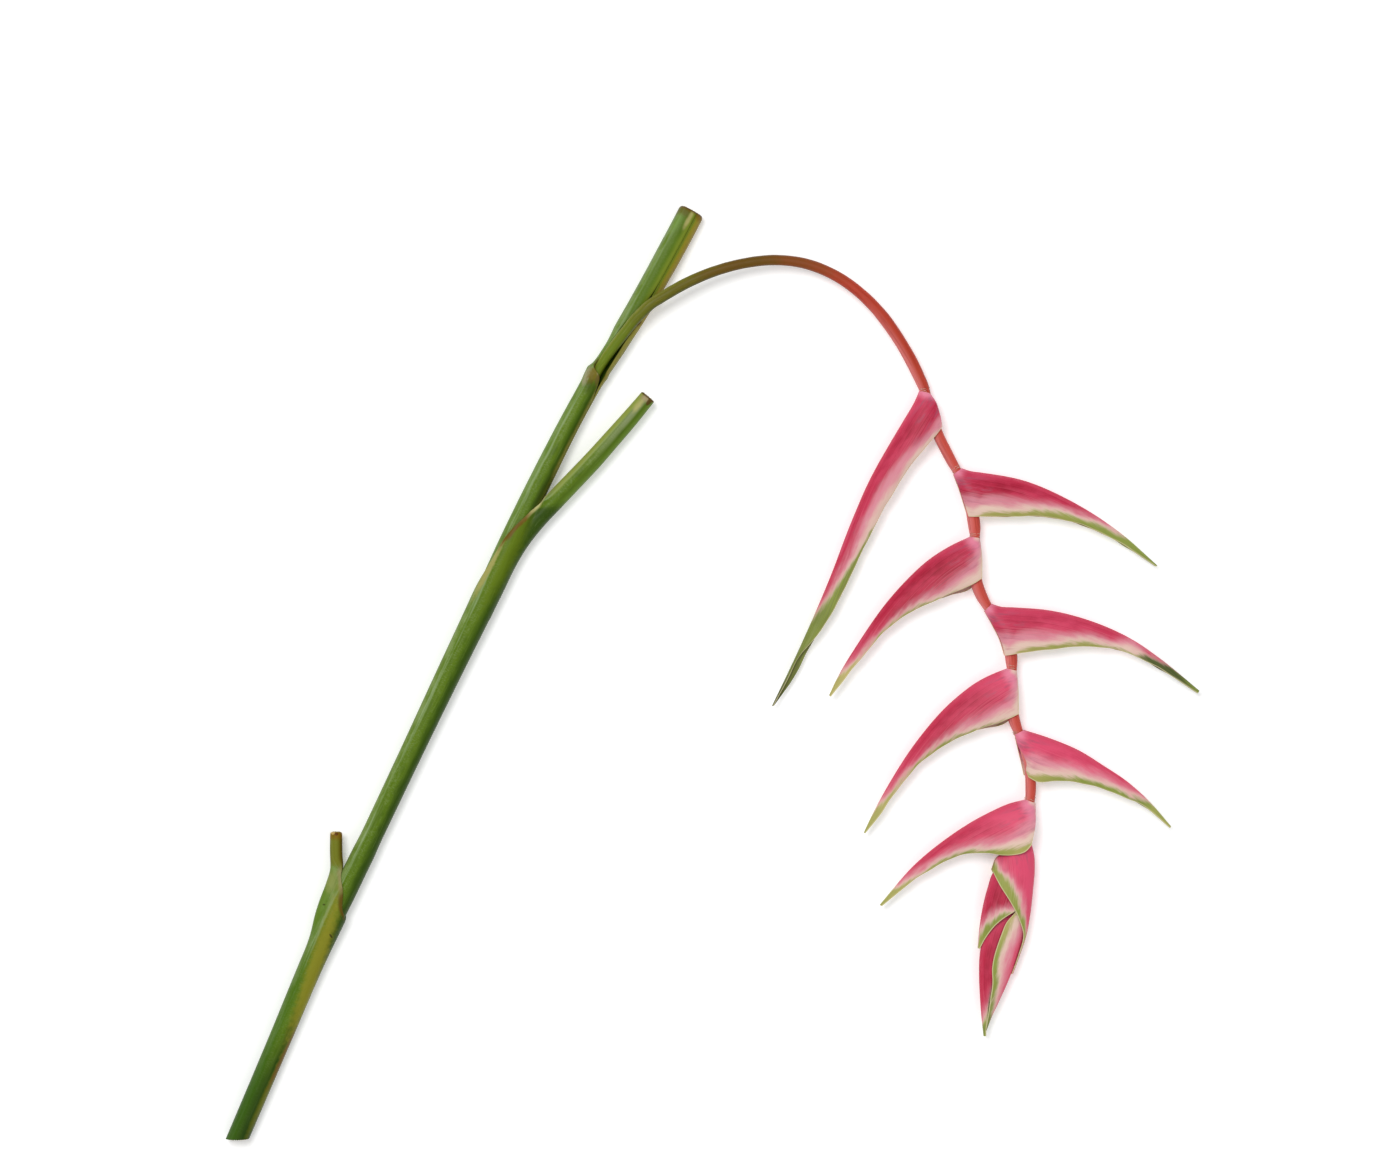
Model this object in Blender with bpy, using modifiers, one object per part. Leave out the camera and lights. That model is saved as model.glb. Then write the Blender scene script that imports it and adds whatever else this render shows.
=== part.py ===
"""A cut stem of hanging heliconia, lying on its side.

The spray lies in the XY plane with +Z up: +Y runs up the stem, and the flower head hangs on its +X side.
The origin is on the surface that it lies on, under the middle of the spray.
Sizes are in millimetres and angles in degrees until a mesh is made, in metres.
"""

import bmesh
import bpy
import numpy as np

MM = 0.001

# Clear space between pieces that touch, and the walls of the thin ones.
GAP = 0.4
SHEATH_WALL = 1.0
OPEN_BRACT_WALL = 0.75
BUD_BRACT_WALL = 0.65

# The foot of the stem is cut straight across at this Y.
FOOT_Y = -289.0
FOOT_MARGIN = 4.0

# How finely the surfaces are divided.
ARC_POINTS = 15
STEM_LEVELS = [
    -293.0, -245.0, -202.0, -178.0, -160.0, -146.0, -131.0, -116.0, -101.0, -66.0, -29.0, 8.0, 35.0, 50.0,
    65.0, 80.0, 95.0, 110.0, 127.5, 145.0, 170.0,
]
MOUTH_TURN = 16.0
RIM_TOP = 194.0
RIM_SPAN = 1.8
PETIOLE_SPAN = 11.0
BACK_ROWS = 3
MARGIN_ROWS = 11
FLANK_POINTS = 4
TUBE_RESOLUTION = 2

UP = np.array([0.0, 0.0, 1.0])

# The stem's axis, from the foot to the cut end of the upper petiole: x, y, z.
STEM_AXIS = [
    (-296.5, -293.0, 6.57), (-268.5, -227.5, 7.2), (-247.5, -178.0, 7.9), (-227.5, -134.5, 8.9),
    (-212.5, -103.5, 8.9), (-189.0, -54.0, 9.0), (-165.5, -4.5, 9.0), (-141.5, 45.5, 9.2),
    (-124.5, 82.5, 9.2), (-106.5, 119.5, 8.7), (-87.5, 157.0, 8.3), (-71.5, 185.5, 8.0),
    (-57.0, 208.0, 7.8), (-40.5, 235.5, 7.5), (-23.0, 267.0, 7.3), (-13.0, 286.0, 7.23),
]

# Outer radius of each rolled sheath along the stem: y, radius.
LOWER_SHEATH = [(-293.0, 6.7), (-227.5, 7.0), (-178.0, 7.5), (-152.0, 8.2), (-131.0, 8.7)]
MIDDLE_SHEATH = [
    (-293.0, 5.3), (-227.5, 5.6), (-178.0, 6.1), (-152.0, 6.8), (-131.0, 7.25), (-113.0, 7.2),
    (-101.0, 6.8), (-54.0, 7.0), (-4.5, 7.6), (45.5, 8.4), (58.0, 8.75), (82.5, 8.7), (110.0, 8.6),
]
UPPER_SHEATH = [
    (-293.0, 4.0), (-227.5, 4.3), (-178.0, 4.8), (-152.0, 5.5), (-131.0, 5.9), (-113.0, 5.8),
    (-101.0, 5.4), (-54.0, 5.6), (-4.5, 6.2), (45.5, 7.0), (70.0, 7.2), (119.5, 7.0),
    (145.0, 6.65), (170.0, 6.45),
]

# Half-angle of each sheath's slit, which widens into its mouth: y, angle.
LOWER_MOUTH = [
    (-293.0, 4.0), (-165.0, 4.0), (-152.0, 7.0), (-149.5, 25.0), (-145.5, 72.0), (-138.5, 100.0),
    (-132.0, 142.0),
]
MIDDLE_MOUTH = [
    (-293.0, 4.0), (25.0, 4.0), (45.0, 8.0), (57.0, 30.0), (66.5, 45.0), (80.0, 57.0), (88.5, 75.0),
    (98.0, 103.0), (104.0, 118.0), (108.0, 140.0),
]

# Which way a slit faces, turned from straight up towards +X.
FACING_RIGHT = 90.0
FACING_LEFT = -90.0
UPPER_SLIT = (66.0, 74.0)

# The upper sheath above its slit, where it opens into a channelled petiole. The opening runs from its left
# edge to its right one: y, half-height, half-width, left edge, right edge, lip, thickness of the back.
UPPER_PETIOLE = [
    (178.0, 6.45, 6.45, 50.0, 64.0, 1.0, 1.0), (181.5, 6.5, 6.5, 30.0, 60.0, 1.0, 1.05),
    (184.5, 6.55, 6.55, -5.0, 55.0, 1.0, 1.1), (187.5, 6.6, 6.6, -48.0, 50.0, 1.0, 1.2),
    (190.5, 6.6, 6.65, -72.0, 45.0, 1.0, 1.4), (194.0, 6.6, 6.7, -80.0, 42.0, 1.05, 1.8),
    (200.5, 6.6, 6.8, -80.0, 40.0, 1.1, 2.6), (206.5, 6.6, 6.9, -64.0, 42.0, 1.3, 3.6),
    (212.5, 6.7, 7.05, -42.0, 46.0, 1.5, 4.6), (219.0, 6.75, 7.2, -22.0, 49.0, 1.65, 5.6),
    (225.0, 6.8, 7.4, -9.0, 50.0, 1.8, 6.4), (235.5, 7.0, 7.7, 0.0, 47.0, 1.9, 7.3),
    (252.0, 7.0, 7.95, 3.0, 42.0, 2.0, 8.0), (267.0, 7.0, 8.3, 7.0, 40.0, 2.0, 8.3),
    (285.3, 7.0, 8.3, 15.0, 46.0, 2.0, 8.3),
]

# The two lower petioles, which grow out of their sheaths' walls: x, y, z, radius.
LOWER_PETIOLE = [
    (-252.5, -179.0, 7.9, 1.6), (-250.0, -172.5, 8.0, 2.4), (-246.0, -161.5, 8.3, 3.3),
    (-243.0, -151.0, 8.6, 3.8), (-240.5, -143.5, 8.8, 3.9), (-236.0, -131.5, 8.9, 3.9),
    (-233.6, -123.5, 8.9, 3.85), (-233.4, -109.5, 8.9, 3.85), (-233.4, -98.5, 8.9, 3.7),
]
MIDDLE_PETIOLE = [
    (-143.0, 34.0, 9.2, 4.6), (-138.5, 44.5, 9.2, 5.0), (-127.5, 68.5, 9.2, 6.0), (-120.5, 80.5, 9.2, 6.2),
    (-106.0, 98.5, 9.3, 6.3), (-97.0, 108.0, 9.3, 6.2), (-86.0, 119.5, 9.3, 6.1),
    (-74.5, 132.0, 9.2, 5.9), (-63.5, 144.5, 9.1, 5.45), (-52.5, 157.0, 9.0, 5.2),
    (-40.3, 171.5, 9.0, 4.7),
]
GROOVE_EDGES = (-112.0, -68.0)
GROOVE_LIP = 0.24
GROOVE_BACK = 1.36

# The flower stalk inside the stem, then over its arch and down the zigzag that carries the bracts, with a
# narrow neck where each bract clasps it: x, y, z, radius.
STALK_IN_STEM = [(-293.0, 2.6), (-178.0, 3.1), (-54.0, 3.4), (119.5, 3.4), (170.0, 3.3)]
STALK = [
    (-76.4, 176.5, 8.0, 3.3), (-74.5, 181.5, 8.3, 3.2), (-72.3, 186.0, 8.8, 3.1), (-70.3, 190.3, 9.6, 3.1),
    (-67.3, 194.5, 10.5, 3.1), (-63.5, 200.3, 11.6, 3.1), (-58.4, 206.5, 12.8, 3.2),
    (-53.0, 212.7, 14.0, 3.2), (-47.6, 218.9, 15.2, 3.3), (-43.3, 224.0, 16.0, 3.3),
    (-38.8, 228.0, 16.5, 3.3), (-31.3, 232.8, 16.9, 3.3), (-17.1, 241.2, 16.8, 3.3), (1.6, 249.2, 16.0, 3.2),
    (20.2, 254.2, 14.8, 3.1), (38.8, 256.1, 13.4, 3.1), (57.4, 253.9, 12.1, 3.2), (76.0, 246.5, 11.0, 3.3),
    (94.6, 232.8, 9.8, 3.5), (103.9, 222.9, 9.4, 3.7), (113.2, 210.2, 9.1, 3.7), (122.5, 194.7, 8.9, 3.65),
    (128.0, 184.0, 8.8, 3.5), (131.0, 177.5, 8.8, 3.3), (133.4, 172.3, 8.8, 2.6), (136.0, 165.0, 8.8, 2.7),
    (138.5, 157.0, 8.8, 3.1), (140.8, 149.0, 8.8, 3.2), (144.0, 138.0, 8.8, 3.2), (148.5, 130.8, 8.8, 3.1),
    (151.9, 125.4, 8.8, 2.6), (156.0, 116.0, 8.8, 2.8), (160.0, 105.5, 8.8, 3.2), (162.0, 96.0, 8.8, 3.7),
    (162.9, 90.0, 8.8, 3.4), (163.2, 84.3, 8.8, 2.6), (163.6, 76.0, 8.8, 2.7), (163.8, 66.5, 8.8, 3.1),
    (164.4, 57.5, 8.8, 3.7), (167.8, 48.0, 8.8, 3.4), (171.3, 41.3, 8.8, 2.6), (175.6, 33.5, 8.8, 2.8),
    (181.0, 24.5, 8.8, 3.2), (184.3, 15.5, 8.8, 3.7), (185.4, 8.0, 8.8, 3.4), (185.8, 1.8, 8.8, 2.6),
    (186.0, -8.5, 8.8, 2.7), (186.2, -19.5, 8.8, 3.1), (187.2, -28.5, 8.8, 3.4), (190.0, -37.0, 8.8, 2.6),
    (193.2, -46.5, 8.8, 2.8), (196.3, -57.0, 8.8, 3.1), (197.6, -68.0, 8.8, 3.2), (197.6, -74.0, 8.8, 3.1),
    (197.0, -80.3, 8.8, 3.0), (195.8, -90.0, 8.8, 2.6), (195.0, -100.0, 8.8, 2.6), (194.2, -108.0, 8.8, 2.3),
    (191.4, -118.0, 8.8, 1.75), (189.0, -129.0, 8.75, 1.45), (187.4, -135.0, 8.7, 1.2),
    (186.3, -139.5, 8.7, 1.1),
]

# An open bract: the edge that clasps the rachis takes the first part of its length, then its margins follow.
# Along the bract: share of its length, half-width as a share of its widest, half-angle that the flanks wrap,
# lean of the flanks towards the margin.
CLASP = 0.14
OPEN_PROFILE = [
    (0.0, 0.62, 160.0, 0.04), (0.05, 0.82, 154.0, 0.12), (CLASP, 1.0, 141.0, 0.2), (0.3, 0.95, 146.0, 0.22),
    (0.5, 0.72, 146.0, 0.2), (0.7, 0.50, 132.0, 0.12), (0.87, 0.31, 108.0, 0.04), (1.0, 0.19, 92.0, 0.0),
]
BUD_MOUTH_PROFILE = [
    (0.0, 0.56, 160.0, 0.04), (0.05, 0.78, 146.0, 0.1), (CLASP, 1.0, 118.0, 0.15), (0.3, 0.95, 126.0, 0.2),
    (0.5, 0.72, 140.0, 0.2), (0.7, 0.48, 132.0, 0.12), (0.87, 0.29, 108.0, 0.04), (1.0, 0.17, 92.0, 0.0),
]

# Each open bract: its keel, the edge that clasps the rachis, its margin, its widest half-width, and the
# height of its base and its tip. The outlines run from the rachis to the tip.
OPEN_BRACTS = {
    "bract_1": {
        "keel": [(129.2, 171.3), (124.5, 166.5), (110.5, 144.5), (91.5, 107.5), (72.0, 57.5), (50.5, 8.0),
                 (37.0, -20.0)],
        "clasp": [(136.8, 174.7), (140.5, 168.0), (142.5, 160.0), (143.0, 152.0)],
        "margin": [(143.0, 152.0), (135.5, 143.5), (117.5, 119.5), (96.5, 82.5), (78.5, 45.5), (55.5, 8.5),
                   (39.0, -20.5)],
        "half_width": 7.2, "heights": (8.8, 7.5),
    },
    "bract_2": {
        "keel": [(155.5, 128.0), (166.0, 125.5), (193.0, 119.5), (221.5, 107.5), (252.5, 87.0), (275.0, 68.0)],
        "clasp": [(148.4, 122.9), (151.5, 116.5), (155.3, 106.0), (158.0, 97.0)],
        "margin": [(158.0, 97.0), (178.0, 97.5), (206.0, 97.0), (228.0, 92.5), (249.5, 82.5), (273.8, 66.5)],
        "half_width": 7.4, "heights": (8.8, 7.0),
    },
    "bract_3": {
        "keel": [(158.9, 85.0), (147.0, 79.5), (134.0, 70.5), (109.5, 45.5), (91.5, 20.5), (72.2, -13.0)],
        "clasp": [(167.3, 84.0), (168.4, 71.0), (167.5, 59.0)],
        "margin": [(167.5, 59.0), (159.5, 55.5), (136.0, 45.5), (114.0, 33.0), (91.5, 8.5), (74.0, -14.0)],
        "half_width": 7.4, "heights": (8.8, 9.5),
    },
    "bract_4": {
        "keel": [(174.8, 43.8), (186.0, 41.8), (209.0, 39.0), (233.5, 33.0), (261.5, 20.5), (280.5, 7.0),
                 (302.1, -10.8)],
        "clasp": [(168.0, 38.8), (173.5, 28.5), (178.5, 19.5), (181.0, 11.5)],
        "margin": [(181.0, 11.5), (197.0, 14.0), (232.0, 17.0), (252.5, 14.0), (274.5, 3.5), (300.8, -12.4)],
        "half_width": 7.8, "heights": (8.8, 7.5),
    },
    "bract_5": {
        "keel": [(181.5, 3.0), (166.0, -4.5), (149.0, -16.5), (127.0, -41.5), (110.5, -66.5), (94.2, -98.0)],
        "clasp": [(189.9, 1.0), (190.6, -12.5), (190.0, -25.0)],
        "margin": [(190.0, -25.0), (179.0, -29.5), (148.5, -41.5), (119.5, -66.5), (96.0, -98.8)],
        "half_width": 7.4, "heights": (8.8, 7.6),
    },
    "bract_6": {
        "keel": [(194.0, -35.8), (208.0, -40.5), (228.0, -49.0), (256.0, -66.5), (270.5, -79.5),
                 (283.3, -94.5)],
        "clasp": [(186.1, -38.3), (189.0, -48.0), (191.8, -57.5), (193.5, -65.5)],
        "margin": [(193.5, -65.5), (213.5, -67.0), (232.0, -69.5), (256.5, -78.5), (282.0, -96.0)],
        "half_width": 7.0, "heights": (8.8, 9.5),
    },
    "bract_7": {
        "keel": [(192.7, -79.5), (172.5, -86.0), (147.0, -101.0), (126.0, -118.0), (104.5, -144.0)],
        "clasp": [(201.2, -81.0), (200.8, -94.0), (197.8, -106.0)],
        "margin": [(197.8, -106.0), (193.5, -109.8), (186.0, -112.3), (177.5, -112.6), (164.5, -111.6),
                   (147.0, -116.0), (126.0, -127.5), (106.0, -145.0)],
        "half_width": 8.4, "heights": (8.8, 8.0),
    },
}

# A bract of the closed bud, from the outermost in. Its profile gives half-widths in millimetres.
BUD_BRACTS = {
    "bract_8": {
        "keel": [(197.8, -105.5), (199.6, -114.0), (199.8, -122.0), (198.8, -134.5), (197.0, -150.0),
                 (194.5, -163.5), (190.5, -175.5), (186.5, -186.5)],
        "clasp": [(190.6, -106.6), (182.0, -110.8), (176.0, -114.5), (173.0, -122.0)],
        "margin": [(173.0, -122.0), (177.5, -131.0), (184.0, -141.5), (189.5, -152.0), (192.5, -162.5),
                   (189.5, -175.0), (185.4, -186.8)],
        "profile": [(0.0, 3.9, 160.0), (0.08, 5.6, 158.0), (0.17, 7.3, 150.0), (0.30, 8.4, 109.0),
                    (0.43, 8.6, 84.0), (0.56, 8.4, 57.0), (0.70, 7.4, 34.0), (0.85, 5.0, 29.0),
                    (1.0, 2.2, 30.0)],
        "clasp_share": 0.17,
    },
    "bract_9": {
        "keel": [(188.0, -117.4), (181.0, -118.8), (174.4, -123.2), (170.4, -133.5), (167.4, -145.5),
                 (165.2, -160.0), (164.3, -170.5)],
        "clasp": [(194.6, -118.4), (192.5, -128.5), (190.5, -139.0), (186.5, -147.5)],
        "margin": [(186.5, -147.5), (179.5, -152.0), (173.5, -157.5), (168.8, -164.5), (165.5, -171.0)],
        "profile": [(0.0, 3.0, 158.0), (0.1, 4.6, 150.0), (0.24, 6.4, 122.0), (0.45, 7.1, 104.0),
                    (0.6, 7.1, 84.0), (0.75, 6.6, 62.0), (0.88, 5.1, 42.0), (1.0, 2.9, 32.0)],
        "clasp_share": 0.45,
    },
    "bract_10": {
        "keel": [(191.8, -128.6), (194.4, -136.5), (195.6, -145.0), (194.6, -154.0), (192.6, -164.5),
                 (189.2, -175.0), (185.1, -186.0), (181.4, -195.0), (176.8, -205.0), (172.6, -213.5)],
        "clasp": [(186.4, -129.8), (185.5, -138.5), (187.0, -148.3)],
        "margin": [(187.0, -148.3), (181.7, -154.5), (178.5, -162.0), (174.8, -173.0), (173.0, -182.5),
                   (173.2, -192.0), (172.2, -202.0), (170.9, -212.8)],
        "profile": [(0.0, 2.7, 158.0), (0.10, 4.9, 118.0), (0.27, 5.8, 92.0), (0.45, 5.8, 96.0),
                    (0.62, 5.2, 98.0), (0.80, 3.9, 96.0), (1.0, 1.5, 92.0)],
        "clasp_share": 0.17,
    },
    "bract_11": {
        "keel": [(183.8, -138.2), (178.0, -143.4), (172.2, -152.0), (168.4, -163.0), (166.3, -173.0),
                 (165.7, -187.0), (166.3, -201.5), (167.1, -213.5), (168.0, -225.2)],
        "clasp": [(188.4, -139.4), (188.8, -147.0), (187.5, -156.5)],
        "margin": [(187.5, -156.5), (184.0, -168.5), (180.0, -181.0), (174.8, -193.0), (171.5, -204.0),
                   (170.3, -213.0), (169.6, -225.2)],
        "profile": [(0.0, 2.25, 158.0), (0.12, 3.0, 150.0), (0.27, 4.1, 150.0), (0.5, 4.0, 150.0),
                    (0.7, 3.1, 146.0), (0.85, 2.1, 125.0), (1.0, 1.2, 95.0)],
        "clasp_share": 0.17,
    },
}
BUD_HEIGHTS = (8.7, 8.5)

# Each piece's colour and roughness.
FINISHES = {
    "leaf_base_1": ((0.13, 0.20, 0.03), 0.45),
    "leaf_base_2": ((0.10, 0.22, 0.03), 0.42),
    "leaf_base_3": ((0.12, 0.24, 0.04), 0.42),
    "peduncle": ((0.50, 0.08, 0.04), 0.45),
    "open_bract": ((0.55, 0.03, 0.08), 0.38),
    "bud_bract": ((0.70, 0.08, 0.12), 0.38),
}


def smooth_reader(knots, rows, flat_turns=False):
    """A function that reads a smooth curve through the rows at any value of the knots.

    With flat_turns it never swings past a row, so level stretches stay level.
    """
    knots = np.asarray(knots, float)
    rows = np.asarray(rows, float).reshape(len(knots), -1)
    gaps = np.diff(knots)[:, None]
    slopes = np.diff(rows, axis=0) / gaps
    before, after = slopes[:-1], slopes[1:]
    if flat_turns:
        turning = before * after <= 0
        middle = 2 * before * after / np.where(turning, 1.0, before + after)
        middle[turning] = 0.0
    else:
        middle = (before * gaps[1:] + after * gaps[:-1]) / (gaps[1:] + gaps[:-1])
    tangents = np.vstack([slopes[:1], middle, slopes[-1:]])

    def read(at):
        at = np.atleast_1d(np.asarray(at, float))
        span = np.clip(np.searchsorted(knots, at, side="right") - 1, 0, len(gaps) - 1)
        step = gaps[span]
        t = (at - knots[span])[:, None] / step
        start = (2 * t**3 - 3 * t**2 + 1) * rows[span] + (t**3 - 2 * t**2 + t) * step * tangents[span]
        end = (3 * t**2 - 2 * t**3) * rows[span + 1] + (t**3 - t**2) * step * tangents[span + 1]
        return start + end

    return read


def table_reader(table):
    """Reads the later columns of a table by its first."""
    table = np.asarray(table, float)
    return smooth_reader(table[:, 0], table[:, 1:], flat_turns=True)


def length_reader(points):
    """Reads an outline by the share of its length."""
    points = np.asarray(points, float)
    steps = np.linalg.norm(np.diff(points[:, :3], axis=0), axis=1)
    return smooth_reader(np.concatenate([[0], np.cumsum(steps)]) / steps.sum(), points)


def divided(stations, longest):
    """The stations, with more between those that lie further apart than longest."""
    values = [stations[0]]
    for start, end in zip(stations, stations[1:]):
        parts = max(1, int(np.ceil((end - start) / longest)))
        values.extend(np.linspace(start, end, parts + 1)[1:])
    return np.array(values)


def mouth_levels(mouth):
    """The stem's levels below a mouth, then levels close enough for its edge to stay round."""
    values = [level for level in STEM_LEVELS if level < mouth[1][0]]
    for (start, *before), (end, *after) in zip(mouth[1:], mouth[2:]):
        turn = np.abs(np.subtract(after, before)).max()
        parts = max(1, int(np.ceil(turn / MOUTH_TURN)))
        values.extend(np.linspace(start, end, parts, endpoint=False))
    return np.array(values + [mouth[-1][0]])


def tangents_of(points):
    steps = np.gradient(points, axis=0)
    return steps / np.linalg.norm(steps, axis=1)[:, None]


def channel_ring(centre, tangent, height, width, left_edge, right_edge, lip, back):
    """A C-shaped section: an outer arc, then back along an inner arc that sits nearer to the opening.

    The opening's edges are angles from straight up, with the stem's right at 90.
    """
    facing = (left_edge + right_edge) / 2
    opening = (right_edge - left_edge) / 2
    right = np.cross(tangent, UP)
    right /= np.linalg.norm(right)
    up = np.cross(right, tangent)
    turn = np.radians(facing)
    toward = np.sin(turn) * right + np.cos(turn) * up
    across = np.cos(turn) * right - np.sin(turn) * up
    start = np.radians(opening)
    angles = np.linspace(start, 2 * np.pi - start, ARC_POINTS)
    outer = height * np.cos(angles)[:, None] * toward + width * np.sin(angles)[:, None] * across
    shift = (back - lip) / 2
    inner_height = height - (back + lip) / 2
    inner_width = inner_height * width / height
    inner_start = np.arctan2(width * np.sin(start), height * np.cos(start) - shift)
    angles = np.linspace(2 * np.pi - inner_start, inner_start, ARC_POINTS)
    inner = (shift + inner_height * np.cos(angles))[:, None] * toward
    inner = inner + inner_width * np.sin(angles)[:, None] * across
    return centre + np.vstack([outer, inner])


def round_ring(centre, tangent, radius):
    right = np.cross(tangent, UP)
    right /= np.linalg.norm(right)
    up = np.cross(right, tangent)
    angles = np.linspace(0, 2 * np.pi, 2 * ARC_POINTS, endpoint=False)
    return centre + radius * (np.cos(angles)[:, None] * up + np.sin(angles)[:, None] * right)


def mesh_object(name, points, faces, collection):
    mesh = bpy.data.meshes.new(name)
    mesh.from_pydata(np.asarray(points) * MM, [], faces)
    mesh.validate()
    mesh.shade_smooth()
    piece = bpy.data.objects.new(name, mesh)
    collection.objects.link(piece)
    return piece


def loft(name, rings, collection, hollow):
    """A closed solid through rings of equal length. A hollow ring's ends are closed along its wall."""
    count = len(rings[0])
    faces = []
    for row in range(len(rings) - 1):
        for i in range(count):
            j = (i + 1) % count
            faces.append([row * count + i, row * count + j, (row + 1) * count + j, (row + 1) * count + i])
    last = (len(rings) - 1) * count
    if hollow:
        for i in range(count // 2 - 1):
            wall = [i, count - 1 - i, count - 2 - i, i + 1]
            faces.append(wall)
            faces.append([last + corner for corner in reversed(wall)])
    else:
        faces.append(list(range(count))[::-1])
        faces.append([last + i for i in range(count)])
    piece = mesh_object(name, np.vstack(rings), faces, collection)
    shape = bmesh.new()
    shape.from_mesh(piece.data)
    bmesh.ops.recalc_face_normals(shape, faces=shape.faces)
    shape.to_mesh(piece.data)
    shape.free()
    return piece


def boolean(piece, other, operation):
    modifier = piece.modifiers.new(other.name, "BOOLEAN")
    modifier.operation = operation
    modifier.object = other


def paint(piece, finish):
    colour, roughness = FINISHES[finish]
    material = bpy.data.materials.new(piece.name)
    material.use_nodes = True
    shader = material.node_tree.nodes["Principled BSDF"]
    shader.inputs["Base Color"].default_value = (*colour, 1.0)
    shader.inputs["Roughness"].default_value = roughness
    shader.inputs["Metallic"].default_value = 0.0
    material.diffuse_color = (*colour, 1.0)
    piece.data.materials.append(material)


def stem_at(levels):
    """Points on the stem's axis and its direction there, at the given values of y."""
    read = table_reader([(y, x, y, z) for x, y, z in STEM_AXIS])
    points = read(levels)
    ahead = read(np.asarray(levels) + 1.0)
    behind = read(np.asarray(levels) - 1.0)
    ways = ahead - behind
    return points, ways / np.linalg.norm(ways, axis=1)[:, None]


def rolled_sheath(name, radii, mouth, facing, collection):
    """A leaf's sheath, rolled round the stem from the foot up to its mouth."""
    levels = mouth_levels(mouth)
    centres, ways = stem_at(levels)
    radius = table_reader(radii)(levels)[:, 0]
    openings = table_reader(mouth)(levels)[:, 0]
    rings = [
        channel_ring(centre, way, size, size, facing - opening, facing + opening, SHEATH_WALL, SHEATH_WALL)
        for centre, way, size, opening in zip(centres, ways, radius, openings)
    ]
    return loft(name, rings, collection, hollow=True)


def stem_core(name, radii, bottom, top, helpers):
    """What fills a sheath at its mouth, with clear space round it: the petiole is cut back by it."""
    levels = [bottom] + [level for level in STEM_LEVELS if bottom < level < top] + [top]
    centres, ways = stem_at(levels)
    radius = table_reader(radii)(levels)[:, 0] + GAP
    rings = [round_ring(centre, way, size) for centre, way, size in zip(centres, ways, radius)]
    return loft(name, rings, helpers, hollow=False)


def make_lower_leaf(pieces, helpers, foot):
    piece = rolled_sheath("leaf_base_1", LOWER_SHEATH, LOWER_MOUTH, FACING_RIGHT, pieces)
    path = np.array(LOWER_PETIOLE)
    rings = [
        round_ring(centre, way, radius)
        for centre, way, radius in zip(path[:, :3], tangents_of(path[:, :3]), path[:, 3])
    ]
    petiole = loft("lower_petiole", rings, helpers, hollow=False)
    core = stem_core("lower_core", MIDDLE_SHEATH, -190.0, -85.0, helpers)
    boolean(petiole, core, "DIFFERENCE")
    boolean(piece, petiole, "UNION")
    boolean(piece, foot, "DIFFERENCE")
    paint(piece, "leaf_base_1")


def make_middle_leaf(pieces, helpers, foot):
    piece = rolled_sheath("leaf_base_2", MIDDLE_SHEATH, MIDDLE_MOUTH, FACING_LEFT, pieces)
    path = np.array(MIDDLE_PETIOLE)
    rings = [
        channel_ring(centre, way, radius, radius, *GROOVE_EDGES, GROOVE_LIP * radius, GROOVE_BACK * radius)
        for centre, way, radius in zip(path[:, :3], tangents_of(path[:, :3]), path[:, 3])
    ]
    petiole = loft("middle_petiole", rings, helpers, hollow=True)
    core = stem_core("middle_core", UPPER_SHEATH, 20.0, 140.0, helpers)
    boolean(petiole, core, "DIFFERENCE")
    boolean(piece, petiole, "UNION")
    boolean(piece, foot, "DIFFERENCE")
    paint(piece, "leaf_base_2")


def make_upper_leaf(pieces, foot):
    start = UPPER_PETIOLE[0][0]
    radii = table_reader(UPPER_SHEATH)
    below = [level for level in STEM_LEVELS if level < start]
    sheath = [
        (level, radius, radius, *UPPER_SLIT, SHEATH_WALL, SHEATH_WALL)
        for level, radius in zip(below, radii(below)[:, 0])
    ]
    above = divided([row[0] for row in UPPER_PETIOLE if row[0] >= RIM_TOP], PETIOLE_SPAN)
    rim = divided([row[0] for row in UPPER_PETIOLE if row[0] <= RIM_TOP], RIM_SPAN)
    levels = np.concatenate([below, rim, above[1:]])
    centres, ways = stem_at(levels)
    rings = [channel_ring(centre, way, *row) for centre, way, row
             in zip(centres, ways, table_reader(sheath + UPPER_PETIOLE)(levels))]
    piece = loft("leaf_base_3", rings, pieces, hollow=True)
    boolean(piece, foot, "DIFFERENCE")
    paint(piece, "leaf_base_3")


def make_peduncle(pieces, foot):
    """The flower stalk, from the foot of the stem to the tip of the zigzag inside the bud."""
    levels = [level for level in STEM_LEVELS if level <= STALK_IN_STEM[-1][0]]
    inside = np.hstack([stem_at(levels)[0], table_reader(STALK_IN_STEM)(levels)])
    points = np.vstack([inside, STALK])
    curve = bpy.data.curves.new("peduncle", "CURVE")
    curve.dimensions = "3D"
    curve.bevel_depth = MM
    curve.bevel_resolution = TUBE_RESOLUTION
    curve.use_fill_caps = True
    spline = curve.splines.new("POLY")
    spline.points.add(len(points) - 1)
    for point, (x, y, z, radius) in zip(spline.points, points):
        point.co = (x * MM, y * MM, z * MM, 1.0)
        point.radius = radius
    guide = bpy.data.objects.new("peduncle_route", curve)
    pieces.objects.link(guide)
    bpy.context.view_layer.update()
    mesh = bpy.data.meshes.new_from_object(guide.evaluated_get(bpy.context.evaluated_depsgraph_get()))
    bpy.data.objects.remove(guide)
    shape = bmesh.new()
    shape.from_mesh(mesh)
    bmesh.ops.remove_doubles(shape, verts=shape.verts, dist=1e-5)
    bmesh.ops.recalc_face_normals(shape, faces=shape.faces)
    shape.to_mesh(mesh)
    shape.free()
    mesh.shade_smooth()
    piece = bpy.data.objects.new("peduncle", mesh)
    pieces.objects.link(piece)
    boolean(piece, foot, "DIFFERENCE")
    paint(piece, "peduncle")


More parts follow.
